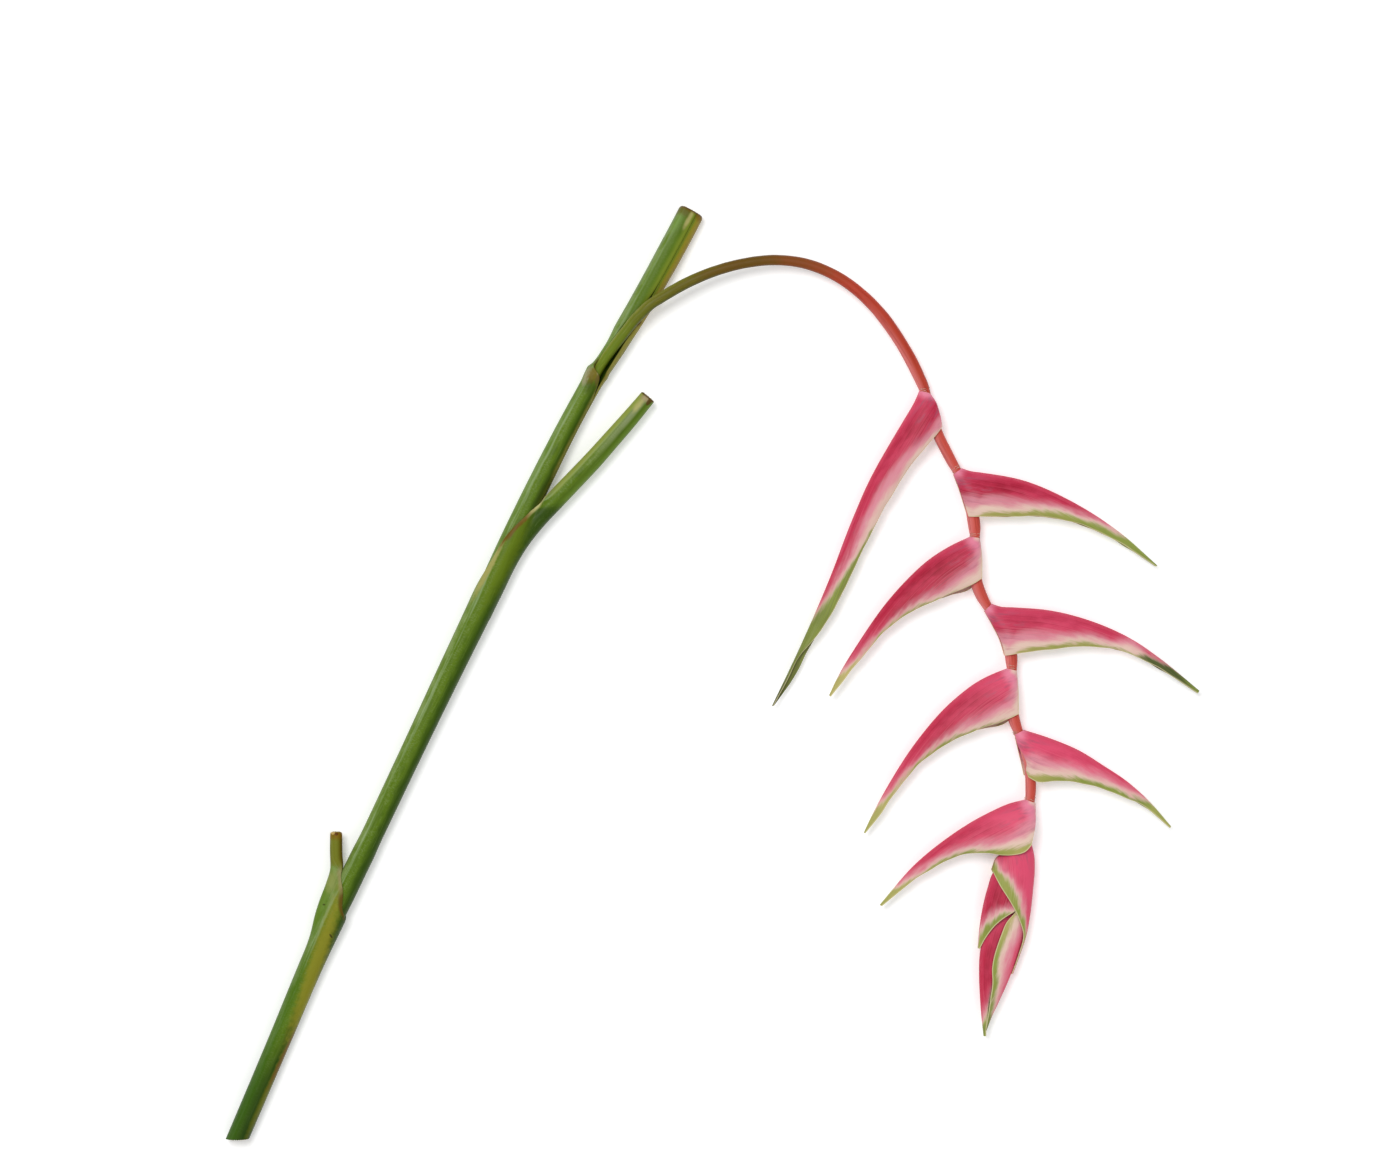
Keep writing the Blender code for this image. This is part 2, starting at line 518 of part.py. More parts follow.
def make_bract(name, outlines, profile, clasp_share, heights, wall, finish, pieces):
    """A folded boat: each row runs from one margin round the keel to the other."""
    shares = np.concatenate([
        np.linspace(0.0, clasp_share, BACK_ROWS + 1),
        np.linspace(clasp_share, 1.0, MARGIN_ROWS + 1)[1:],
    ])
    keel = length_reader(outlines["keel"])(shares)
    clasp = length_reader(outlines["clasp"])(shares[:BACK_ROWS + 1] / clasp_share)
    margin = length_reader(outlines["margin"])((shares[BACK_ROWS + 1:] - clasp_share) / (1.0 - clasp_share))
    edge = np.vstack([clasp, margin])
    half_widths, wraps, leans = table_reader(profile)(shares).T
    levels = heights[0] + (heights[1] - heights[0]) * shares
    rows = []
    for top, side, level, half_width, wrap, lean in zip(
        keel, edge, levels, half_widths, np.radians(wraps), leans
    ):
        turns = np.linspace(wrap, -wrap, 2 * FLANK_POINTS + 1)
        down = (1 - np.cos(turns)) / (1 - np.cos(wrap))
        out = half_width * np.sin(turns) * (1 - lean * np.cos(turns))
        rows.append(np.column_stack([top + down[:, None] * (side - top), level + out]))
    count = len(rows[0])
    faces = []
    for row in range(len(rows) - 1):
        for i in range(count - 1):
            a = row * count + i
            faces.append([a, a + 1, a + count + 1, a + count])
    piece = mesh_object(name, np.vstack(rows), faces, pieces)
    shape = bmesh.new()
    shape.from_mesh(piece.data)
    bmesh.ops.triangulate(shape, faces=shape.faces)
    if outward(rows, shape) < 0:
        bmesh.ops.reverse_faces(shape, faces=shape.faces)
    shape.to_mesh(piece.data)
    shape.free()
    piece.data.shade_smooth()
    shell = piece.modifiers.new("wall", "SOLIDIFY")
    shell.thickness = wall * MM
    shell.offset = -1.0
    shell.use_even_offset = True
    paint(piece, finish)


def outward(rows, shape):
    """Positive where the open surface's faces point away from the middle of its rows."""
    middle = np.vstack(rows).mean(axis=0) * MM
    facing = 0.0
    for face in shape.faces:
        facing += (np.array(face.calc_center_median())[2] - middle[2]) * face.normal[2] * face.calc_area()
    return facing


def make_foot_cut(helpers):
    """A block below the foot, which trims the sheaths and the stalk to one straight cut."""
    bpy.ops.mesh.primitive_cube_add(size=60.0 * MM)
    foot = bpy.context.object
    foot.name = "foot_cut"
    foot.location = (STEM_AXIS[0][0] * MM, (FOOT_Y - 30.0) * MM, STEM_AXIS[0][2] * MM)
    for collection in foot.users_collection:
        collection.objects.unlink(foot)
    helpers.objects.link(foot)
    return foot


def main():
    for leftover in list(bpy.data.objects):
        bpy.data.objects.remove(leftover)
    pieces = bpy.data.collections.new("heliconia")
    helpers = bpy.data.collections.new("helpers")
    bpy.context.scene.collection.children.link(pieces)
    bpy.context.scene.collection.children.link(helpers)
    foot = make_foot_cut(helpers)
    make_lower_leaf(pieces, helpers, foot)
    make_middle_leaf(pieces, helpers, foot)
    make_upper_leaf(pieces, foot)
    make_peduncle(pieces, foot)
    for name, bract in OPEN_BRACTS.items():
        shape = BUD_MOUTH_PROFILE if name == "bract_7" else OPEN_PROFILE
        profile = [(share, part * bract["half_width"], *rest) for share, part, *rest in shape]
        make_bract(name, bract, profile, CLASP, bract["heights"], OPEN_BRACT_WALL, "open_bract", pieces)
    for name, bract in BUD_BRACTS.items():
        profile = [(*row, 0.0) for row in bract["profile"]]
        make_bract(name, bract, profile, bract["clasp_share"], BUD_HEIGHTS, BUD_BRACT_WALL, "bud_bract", pieces)
    for helper in helpers.objects:
        helper.hide_render = True
        helper.display_type = "WIRE"


if __name__ == "__main__":
    main()
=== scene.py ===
"""A cut stem of hanging heliconia on a pale table: finer pieces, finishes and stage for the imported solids.

The spray lies in the XY plane with +Z up: +Y runs up the stem, and the flower head hangs on its +X side.
Sizes are in millimetres and angles in degrees until a mesh is made, in metres.
"""

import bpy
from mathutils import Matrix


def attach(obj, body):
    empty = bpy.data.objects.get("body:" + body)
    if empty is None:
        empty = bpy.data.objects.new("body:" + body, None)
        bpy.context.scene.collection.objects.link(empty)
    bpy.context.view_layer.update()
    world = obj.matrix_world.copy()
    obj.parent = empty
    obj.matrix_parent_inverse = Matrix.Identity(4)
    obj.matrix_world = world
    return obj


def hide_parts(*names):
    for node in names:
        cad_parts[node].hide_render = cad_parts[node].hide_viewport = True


bl_info = {
    "name": "Hanging heliconia",
    "version": (1, 0, 0),
    "blender": (4, 5, 0),
    "location": "3D View > Sidebar > Heliconia",
    "description": "Builds a cut stem of hanging heliconia piece by piece",
    "category": "Object",
}

import bmesh
import bpy
import numpy as np
from bpy.props import FloatProperty, FloatVectorProperty, IntProperty, PointerProperty
from mathutils import Vector

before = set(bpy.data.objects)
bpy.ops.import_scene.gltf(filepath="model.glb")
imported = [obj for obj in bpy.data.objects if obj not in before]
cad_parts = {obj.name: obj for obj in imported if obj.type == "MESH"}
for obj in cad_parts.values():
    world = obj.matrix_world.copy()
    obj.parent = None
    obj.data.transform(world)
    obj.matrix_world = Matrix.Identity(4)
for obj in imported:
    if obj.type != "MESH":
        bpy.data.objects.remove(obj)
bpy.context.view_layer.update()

MM = 0.001
TINY = 1e-9
UP = np.array([0.0, 0.0, 1.0])

# The foot of the stem is cut straight across at this Y.
FOOT_Y = -289.0
SHEATH_WALL = 1.0
# Clear space between a sheath and what it is rolled round, kept from this far below its mouth on.
CORE_GAP = 0.35
CLEARED_BELOW_MOUTH = 25.0
# The fillet where a petiole leaves its sheath's wall, and the farthest that the petiole reaches out of it.
BRANCH_FILLET = 0.9
BRANCH_REACH = 30.0
HALVINGS = 34

# Points on each side of a sheath's wall, round its lips, and on an arc before its points are spread evenly.
ARC_POINTS = 60
LIP_TURNS = (36.0, 72.0, 108.0, 144.0)
FINE_ARC = 241
# Places that a petiole's line is read at, and the share of it on each side that gives its direction.
PETIOLE_READINGS = 600
LOOK_AHEAD = 0.004

# Edges that bend by more than this stay sharp, on the leaf bases and on the thinner pieces.
SHEATH_CREASE = np.radians(50)
THIN_CREASE = np.radians(55)

# The stem's axis, from the foot to the cut end of the upper petiole: x, y, z.
STEM_AXIS = [
    (-296.5, -293.0, 6.57), (-268.5, -227.5, 7.2), (-247.5, -178.0, 7.9), (-227.5, -134.5, 8.9),
    (-212.5, -103.5, 8.9), (-189.0, -54.0, 9.0), (-165.5, -4.5, 9.0), (-141.5, 45.5, 9.2),
    (-124.5, 82.5, 9.2), (-106.5, 119.5, 8.7), (-87.5, 157.0, 8.3), (-71.5, 185.5, 8.0),
    (-57.0, 208.0, 7.8), (-40.5, 235.5, 7.5), (-23.0, 267.0, 7.3), (-13.0, 286.0, 7.23),
]
# Levels up the stem that the upper sheath and the stalk inside it are drawn through: y.
STEM_LEVELS = [
    -293.0, -245.0, -202.0, -178.0, -160.0, -146.0, -131.0, -116.0, -101.0, -66.0, -29.0, 8.0, 35.0, 50.0,
    65.0, 80.0, 95.0, 110.0, 127.5, 145.0, 170.0,
]

# Outer radius of each rolled sheath along the stem: y, radius.
LOWER_SHEATH = [(-293.0, 6.7), (-227.5, 7.0), (-178.0, 7.5), (-152.0, 8.2), (-131.0, 8.7)]
MIDDLE_SHEATH = [
    (-293.0, 5.3), (-227.5, 5.6), (-178.0, 6.1), (-152.0, 6.8), (-131.0, 7.25), (-113.0, 7.2),
    (-101.0, 6.8), (-54.0, 7.0), (-4.5, 7.6), (45.5, 8.4), (58.0, 8.75), (82.5, 8.7), (110.0, 8.6),
]
UPPER_SHEATH = [
    (-293.0, 4.0), (-227.5, 4.3), (-178.0, 4.8), (-152.0, 5.5), (-131.0, 5.9), (-113.0, 5.8),
    (-101.0, 5.4), (-54.0, 5.6), (-4.5, 6.2), (45.5, 7.0), (70.0, 7.2), (119.5, 7.0),
    (145.0, 6.65), (170.0, 6.45),
]

# Half-angle of each sheath's slit, which widens into its mouth: y, angle.
LOWER_MOUTH = [
    (-293.0, 4.0), (-165.0, 4.0), (-152.0, 7.0), (-149.5, 20.0), (-144.5, 62.0), (-135.0, 96.0),
    (-127.0, 140.0),
]
MIDDLE_MOUTH = [
    (-293.0, 4.0), (25.0, 4.0), (45.0, 8.0), (57.0, 30.0), (66.5, 45.0), (80.0, 57.0), (88.5, 75.0),
    (98.0, 103.0), (104.0, 118.0), (108.0, 140.0),
]

# The edges of the upper sheath's slit, turned from straight up towards +X.
UPPER_SLIT = (66.0, 74.0)

# The upper sheath above its slit, where it opens into a channelled petiole: y, half-height, half-width, left
# edge, right edge, lip, thickness of the back, shift to the right.
UPPER_PETIOLE = [
    (178.0, 6.45, 6.6, 50.0, 64.0, 1.0, 1.0, -0.1), (182.0, 6.5, 7.3, 42.0, 61.0, 1.0, 1.05, -0.3),
    (184.8, 6.6, 7.5, 26.0, 57.0, 1.0, 1.1, -0.3), (186.4, 6.7, 7.3, -4.0, 53.0, 1.0, 1.15, -0.2),
    (187.8, 6.65, 6.8, -34.0, 51.0, 1.0, 1.2, 0.0), (189.8, 6.6, 6.3, -50.0, 49.0, 1.0, 1.3, 0.3),
    (194.0, 6.6, 6.2, -54.0, 46.0, 1.05, 1.8, 0.6), (200.5, 6.6, 6.3, -50.0, 44.0, 1.1, 2.6, 0.6),
    (206.5, 6.6, 6.6, -38.0, 44.0, 1.3, 3.6, 0.3), (212.5, 6.7, 7.05, -28.0, 46.0, 1.5, 4.6, 0.0),
    (219.0, 6.75, 7.3, -10.0, 48.0, 1.65, 5.6, 0.0), (225.0, 6.8, 7.5, 6.0, 47.0, 1.8, 6.4, 0.0),
    (233.0, 7.0, 7.8, 26.0, 36.0, 1.1, 7.8, 0.0), (245.0, 7.0, 8.1, 31.6, 32.4, 0.5, 9.6, 0.0),
    (267.0, 7.0, 8.4, 31.7, 32.2, 0.4, 9.8, 0.0), (286.6, 7.0, 8.4, 31.4, 32.6, 0.45, 9.8, 0.0),
]

# The two lower petioles, which grow out of their sheaths' walls: x, y, z, radius. Then each one's groove:
# left edge, right edge, and its lip and back as shares of the radius.
LOWER_PETIOLE = [
    (-252.5, -179.0, 7.9, 1.6), (-250.0, -172.5, 8.0, 2.4), (-246.0, -161.5, 8.3, 3.3),
    (-243.0, -151.0, 8.6, 3.8), (-240.5, -143.5, 8.8, 3.9), (-236.0, -131.5, 8.9, 3.9),
    (-233.6, -123.5, 8.9, 3.85), (-233.4, -109.5, 8.9, 3.85), (-233.4, -98.5, 8.9, 3.7),
]
MIDDLE_PETIOLE = [
    (-143.0, 34.0, 9.2, 4.6), (-138.5, 44.5, 9.2, 5.0), (-127.5, 68.5, 9.2, 6.0), (-120.5, 80.5, 9.2, 6.2),
    (-106.0, 98.5, 9.3, 6.3), (-97.0, 108.0, 9.3, 6.2), (-86.0, 119.5, 9.3, 6.1),
    (-74.3, 131.8, 9.2, 6.0), (-63.2, 144.3, 9.1, 5.75), (-52.2, 156.8, 9.0, 5.5),
    (-40.0, 171.3, 9.0, 5.05),
]
LOWER_GROOVE = (76.0, 104.0, 0.16, 1.6)
MIDDLE_GROOVE = (-112.0, -68.0, 0.24, 1.36)

# The two leaf bases that branch. facing is where the slit faces, turned from straight up towards +X, and core is
# what the sheath is rolled round. ring_steps says from which level on its rings are how far apart, and blend
# where it turns into the petiole, whose rings are petiole_step apart. rounding is that of its cut edge.
BRANCHED_LEAVES = {
    "lower_leaf_base": {
        "sheath": LOWER_SHEATH, "mouth": LOWER_MOUTH, "facing": 90.0, "petiole": LOWER_PETIOLE,
        "groove": LOWER_GROOVE, "core": MIDDLE_SHEATH, "ring_steps": [(-293.0, 2.5), (-160.0, 0.7)],
        "blend": (-134.0, -120.0), "petiole_step": 0.9, "rounding": 1.5,
    },
    "middle_leaf_base": {
        "sheath": MIDDLE_SHEATH, "mouth": MIDDLE_MOUTH, "facing": -90.0, "petiole": MIDDLE_PETIOLE,
        "groove": MIDDLE_GROOVE, "core": UPPER_SHEATH,
        "ring_steps": [(-293.0, 20.0), (-155.0, 2.5), (40.0, 0.8)],
        "blend": (96.0, 113.0), "petiole_step": 1.4, "rounding": 0.7,
    },
}
UPPER_RING_STEPS = [(-293.0, 22.0), (40.0, 2.0), (172.0, 0.5), (183.0, 0.3), (192.0, 0.8), (215.0, 1.3)]
UPPER_ROUNDING = 2.2

# The flower stalk inside the stem, where its rings lie this far apart, then over its arch and down the zigzag
# that carries the bracts.
INNER_STALK_STEP = 20.0
STALK_IN_STEM = [(-293.0, 2.6), (-178.0, 3.1), (-54.0, 3.4), (119.5, 3.4), (170.0, 3.3)]
STALK = [
    (-76.4, 176.5, 8.0, 3.3), (-74.5, 181.5, 8.4, 3.2), (-72.2, 186.0, 9.0, 3.2), (-69.6, 190.3, 9.8, 3.2),
    (-66.8, 194.5, 10.7, 3.2), (-62.6, 200.3, 11.8, 3.25), (-57.8, 206.5, 13.0, 3.3),
    (-52.9, 212.7, 14.2, 3.35), (-47.9, 218.9, 15.3, 3.4), (-43.2, 223.6, 16.0, 3.4),
    (-38.8, 227.6, 16.5, 3.35), (-31.3, 232.4, 16.9, 3.35), (-17.1, 240.6, 16.8, 3.35),
    (1.6, 248.6, 16.0, 3.3), (20.2, 253.6, 14.8, 3.2), (38.8, 255.6, 13.4, 3.2), (57.4, 253.5, 12.1, 3.3),
    (76.0, 246.2, 11.0, 3.35), (94.6, 232.6, 9.8, 3.5), (103.9, 222.8, 9.4, 3.7), (113.2, 210.2, 9.1, 3.7),
    (122.5, 194.7, 8.9, 3.7), (127.8, 184.0, 8.8, 3.6), (130.7, 177.5, 8.8, 3.4), (132.6, 172.3, 8.8, 2.8),
    (135.0, 165.0, 8.8, 2.8), (137.2, 156.0, 8.8, 3.1), (140.0, 147.5, 8.8, 3.3), (144.6, 138.0, 8.8, 3.3),
    (148.5, 130.6, 8.8, 3.2), (151.6, 125.2, 8.8, 2.8), (155.8, 116.0, 8.8, 2.9), (159.6, 105.5, 8.8, 3.3),
    (161.6, 96.0, 8.8, 3.9), (162.4, 90.0, 8.8, 3.8), (162.7, 84.3, 8.8, 3.0), (163.0, 76.0, 8.8, 2.8),
    (163.1, 66.5, 8.8, 3.1), (163.4, 57.5, 8.8, 3.7), (166.6, 48.0, 8.8, 3.6), (170.4, 41.3, 8.8, 3.0),
    (175.4, 33.5, 8.8, 2.8), (181.0, 24.5, 8.8, 3.2), (184.3, 15.5, 8.8, 3.8), (185.3, 8.0, 8.8, 3.8),
    (185.6, 1.8, 8.8, 3.0), (185.6, -8.5, 8.8, 2.7), (185.6, -19.5, 8.8, 3.1), (186.8, -28.5, 8.8, 3.7),
    (189.8, -37.0, 8.8, 2.9), (193.2, -46.5, 8.8, 2.8), (196.2, -57.0, 8.8, 3.1), (197.2, -68.0, 8.8, 3.3),
    (197.2, -74.0, 8.8, 3.3), (196.6, -80.3, 8.8, 3.0), (195.6, -90.0, 8.8, 2.6), (194.8, -100.0, 8.8, 2.6),
    (194.0, -108.0, 8.8, 2.3), (191.4, -118.0, 8.8, 1.75), (189.0, -129.0, 8.75, 1.45),
    (187.4, -135.0, 8.7, 1.2), (186.3, -139.5, 8.7, 1.1),
]

# An open bract along its length: share, half-width as a share of its widest, half-angle that the flanks wrap,
# lean of the flanks towards the margin. The edge that clasps the rachis takes the first part.
CLASP = 0.14
OPEN_PROFILE = [
    (0.0, 0.52, 160.0, 0.04), (0.05, 0.78, 154.0, 0.12), (CLASP, 1.0, 141.0, 0.2), (0.3, 0.95, 146.0, 0.22),
    (0.5, 0.72, 146.0, 0.2), (0.7, 0.50, 132.0, 0.12), (0.87, 0.31, 108.0, 0.04), (1.0, 0.19, 92.0, 0.0),
]
BUD_MOUTH_PROFILE = [
    (0.0, 0.56, 160.0, 0.04), (0.05, 0.78, 146.0, 0.1), (CLASP, 1.0, 118.0, 0.15), (0.3, 0.95, 126.0, 0.2),
    (0.5, 0.72, 140.0, 0.2), (0.7, 0.48, 132.0, 0.12), (0.87, 0.29, 108.0, 0.04), (1.0, 0.17, 92.0, 0.0),
]

# Each open bract: its keel, the edge that clasps the rachis, its margin, its widest half-width, the height of
# its base and tip, how closely the green band follows the clasping edge, and how wide the pink band is there.
# The flank towards the camera may have a clasping edge of its own, and the other one a margin of its own.
# Colours are rows of: share of the length, width of the green band, width of the pale band inside it, how far
# the green dries to tan, how pink the red is.
OPEN_BRACTS = {
    "bract_1": {
        "keel": [(128.0, 174.8), (125.5, 168.9), (118.4, 156.6), (111.0, 144.2), (97.0, 119.0), (86.5, 94.9),
                 (72.2, 57.7), (50.5, 8.1), (36.8, -20.5)],
        "clasp": [(135.0, 173.2), (138.4, 168.0), (140.8, 160.0), (142.3, 152.5)],
        "margin": [(142.3, 152.5), (138.9, 147.9), (125.5, 132.1), (109.4, 107.3), (90.2, 70.1), (78.4, 45.3),
                   (64.8, 23.0), (54.2, 11.0), (46.4, -4.3), (37.8, -20.5)],
        "far_margin": [(142.3, 152.5), (138.9, 147.9), (125.5, 132.1), (109.4, 107.3), (90.2, 70.1),
                       (78.4, 45.3), (62.9, 20.5), (49.6, -4.3), (38.1, -20.5)],
        "half_width": 7.2, "heights": (8.8, 7.5),
        "hug": 0.8, "clasp_band": 5.0,
        "colours": [(0.0, -3.0, 3.0, 0.0, 0.4), (0.12, -2.0, 11.0, 0.0, 0.35), (0.3, -1.5, 14.0, 0.0, 0.35),
                    (0.4, -0.5, 12.5, 0.2, 0.25), (0.5, 2.6, 8.0, 0.0, 0.2), (0.62, 6.5, 4.0, -0.1, 0.15),
                    (0.72, 11.0, 2.5, -0.3, 0.2), (0.82, 16.0, 2.0, -0.4, 0.2), (1.0, 24.0, 1.0, -1.0, 0.2)],
    },
    "bract_2": {
        "keel": [(154.5, 127.0), (160.0, 125.2), (166.5, 124.3), (193.1, 119.3), (221.7, 107.0), (252.7, 87.1),
                 (276.0, 66.7)],
        "clasp": [(149.1, 123.0), (151.9, 116.0), (155.4, 106.0), (158.4, 97.0)],
        "margin": [(158.4, 97.0), (178.2, 96.8), (206.2, 96.7), (227.8, 92.1), (249.6, 82.2), (275.0, 65.9)],
        "half_width": 7.4, "heights": (8.8, 7.0),
        "hug": 0.6, "clasp_band": 2.0,
        "colours": [(0.0, -3.0, 4.0, 0.0, 0.2), (0.14, -0.4, 16.0, 0.7, 0.2), (0.22, 3.0, 12.0, 0.6, 0.2),
                    (0.4, 4.2, 7.5, 0.35, 0.3), (0.6, 4.2, 5.5, 0.2, 0.2), (0.75, 4.2, 4.5, 0.0, 0.3),
                    (0.87, 8.0, 3.0, 0.0, 0.5), (1.0, 14.0, 2.0, -0.4, 0.3)],
    },
    "bract_3": {
        "keel": [(159.2, 84.4), (147.2, 78.7), (134.2, 70.4), (120.6, 58.0), (109.4, 45.6), (91.5, 20.5),
                 (76.5, -4.6), (72.2, -13.8)],
        "clasp": [(165.7, 83.6), (167.0, 71.0), (166.8, 58.9)],
        "margin": [(166.8, 58.9), (159.7, 54.4), (147.2, 49.0), (136.1, 44.1), (113.8, 31.9), (90.8, 7.4),
                   (80.2, -6.0), (73.2, -14.8)],
        "far_margin": [(166.8, 58.0), (159.7, 51.6), (147.2, 48.0), (136.1, 44.0), (113.8, 32.2), (90.8, 8.0),
                       (80.2, -6.0), (73.2, -14.8)],
        "half_width": 7.4, "heights": (8.8, 9.5),
        "hug": 0.1, "clasp_band": 9.0,
        "colours": [(0.0, -3.0, 9.0, 0.0, 0.3), (0.14, -0.8, 13.0, 0.3, 0.25), (0.3, -0.6, 9.5, 0.2, 0.15),
                    (0.42, 1.8, 5.0, 0.1, 0.1), (0.55, 0.6, 3.0, 0.4, 0.1), (0.75, 0.6, 2.5, 0.5, 0.3),
                    (0.88, 3.0, 4.0, 0.8, 0.4), (1.0, 10.0, 3.0, 0.7, 0.4)],
    },
    "bract_4": {
        "keel": [(172.9, 43.0), (178.5, 41.2), (186.5, 40.7), (209.2, 38.8), (233.4, 32.7), (261.3, 20.2),
                 (278.7, 8.1), (302.0, -11.0)],
        "clasp": [(168.4, 38.2), (173.9, 28.5), (178.5, 19.5), (181.0, 11.0)],
        "margin": [(181.0, 11.0), (196.8, 13.1), (214.0, 15.2), (232.2, 16.4), (252.7, 13.9), (274.5, 4.0),
                   (300.8, -12.8)],
        "half_width": 7.8, "heights": (8.8, 7.5),
        "hug": 0.6, "clasp_band": 2.0,
        "colours": [(0.0, -3.0, 4.0, 0.0, 0.4), (0.14, -0.4, 16.0, 0.7, 0.5), (0.22, 2.8, 12.0, 0.6, 0.6),
                    (0.42, 3.8, 7.0, 0.35, 0.5), (0.55, 1.0, 6.5, 0.3, 0.4), (0.63, 0.2, 11.0, 0.2, 0.6),
                    (0.68, 0.8, 8.0, 0.0, 0.4), (0.73, 3.6, 1.5, -0.8, 0.2), (0.85, 4.6, 0.5, -1.0, 0.1),
                    (0.94, 7.0, 0.5, -0.7, 0.2), (1.0, 14.0, 1.0, -0.4, 0.2)],
    },
    "bract_5": {
        "keel": [(182.4, 2.8), (178.6, 1.4), (165.8, -4.5), (149.1, -17.0), (126.8, -42.0), (110.7, -66.5),
                 (97.4, -91.3), (93.8, -99.0)],
        "clasp": [(188.6, 1.4), (189.6, -12.5), (189.4, -25.1)],
        "margin": [(189.4, -25.1), (178.9, -30.1), (165.8, -34.4), (148.5, -42.2), (130.5, -54.2),
                   (119.3, -66.3), (100.6, -92.3), (94.6, -99.6)],
        "far_margin": [(189.4, -26.0), (181.0, -32.0), (165.8, -35.2), (148.5, -42.2), (130.5, -54.0),
                       (119.3, -66.0), (100.6, -92.3), (94.6, -99.6)],
        "half_width": 7.4, "heights": (8.8, 7.6),
        "hug": 0.1, "clasp_band": 10.0,
        "colours": [(0.0, -3.0, 8.0, 0.0, 0.9), (0.14, -0.2, 12.0, 0.3, 0.7), (0.3, 0.6, 10.0, 0.2, 0.4),
                    (0.42, 2.2, 5.0, 0.05, 0.25), (0.55, 1.4, 3.0, 0.3, 0.3), (0.75, 1.4, 2.5, 0.5, 0.4),
                    (0.88, 4.0, 4.0, 0.6, 0.6), (1.0, 10.0, 3.0, 0.4, 0.6)],
    },
    "bract_6": {
        "keel": [(192.9, -35.2), (208.0, -40.0), (227.8, -48.3), (242.1, -57.2), (255.8, -66.3),
                 (270.6, -79.4), (284.2, -95.0)],
        "clasp": [(187.1, -38.2), (189.4, -48.0), (191.9, -57.5), (193.4, -63.5)],
        "near_clasp": [(187.3, -38.2), (188.8, -44.2), (192.2, -50.5), (194.3, -56.0), (193.9, -60.5),
                       (195.4, -64.6)],
        "far_margin": [(193.4, -63.5), (200.3, -65.5), (213.6, -66.0), (224.5, -67.0), (245.8, -73.2),
                       (267.2, -82.7), (283.4, -96.2)],
        "margin": [(195.4, -64.6), (200.3, -66.9), (213.6, -66.9), (224.5, -67.5), (232.2, -69.0),
                   (245.8, -73.4), (256.4, -77.5), (267.2, -82.7), (283.4, -96.2)],
        "half_width": 7.0, "heights": (8.8, 9.5),
        "hug": 0.7, "clasp_band": 3.0,
        "colours": [(0.0, -3.0, 4.0, 0.0, 0.8), (0.14, 4.0, 13.0, 0.6, 0.9), (0.3, 4.6, 8.5, 0.3, 0.9),
                    (0.45, 3.0, 7.0, 0.1, 0.8), (0.62, 2.6, 5.5, 0.0, 0.8), (0.76, 3.6, 4.0, -0.2, 0.9),
                    (0.88, 7.0, 3.5, 0.3, 0.8), (1.0, 14.0, 2.0, 0.5, 0.8)],
    },
    "bract_7": {
        "keel": [(193.6, -78.4), (183.2, -81.2), (172.4, -86.0), (161.5, -91.8), (147.2, -101.1),
                 (126.2, -118.0), (103.6, -143.8)],
        "clasp": [(200.2, -80.6), (199.8, -94.0), (197.3, -106.3)],
        "margin": [(197.3, -106.3), (193.8, -109.7), (186.6, -112.3), (178.2, -112.5), (171.4, -111.6),
                   (158.2, -111.7), (147.2, -115.3), (126.2, -127.5), (105.0, -144.6)],
        "half_width": 8.4, "heights": (8.8, 8.0),
        "hug": 0.5, "clasp_band": 9.0,
        "colours": [(0.0, -3.0, 8.0, 0.2, 1.0), (0.1, 1.2, 13.0, 0.5, 1.0), (0.2, 4.2, 10.0, 0.5, 0.9),
                    (0.3, 4.6, 8.0, 0.35, 0.7), (0.42, 2.6, 6.5, 0.1, 0.5), (0.6, 1.2, 5.0, 0.3, 0.45),
                    (0.8, 1.6, 5.0, 0.5, 0.5), (0.92, 5.0, 3.0, 0.6, 0.5), (1.0, 10.0, 2.0, 0.4, 0.5)],
    },
}

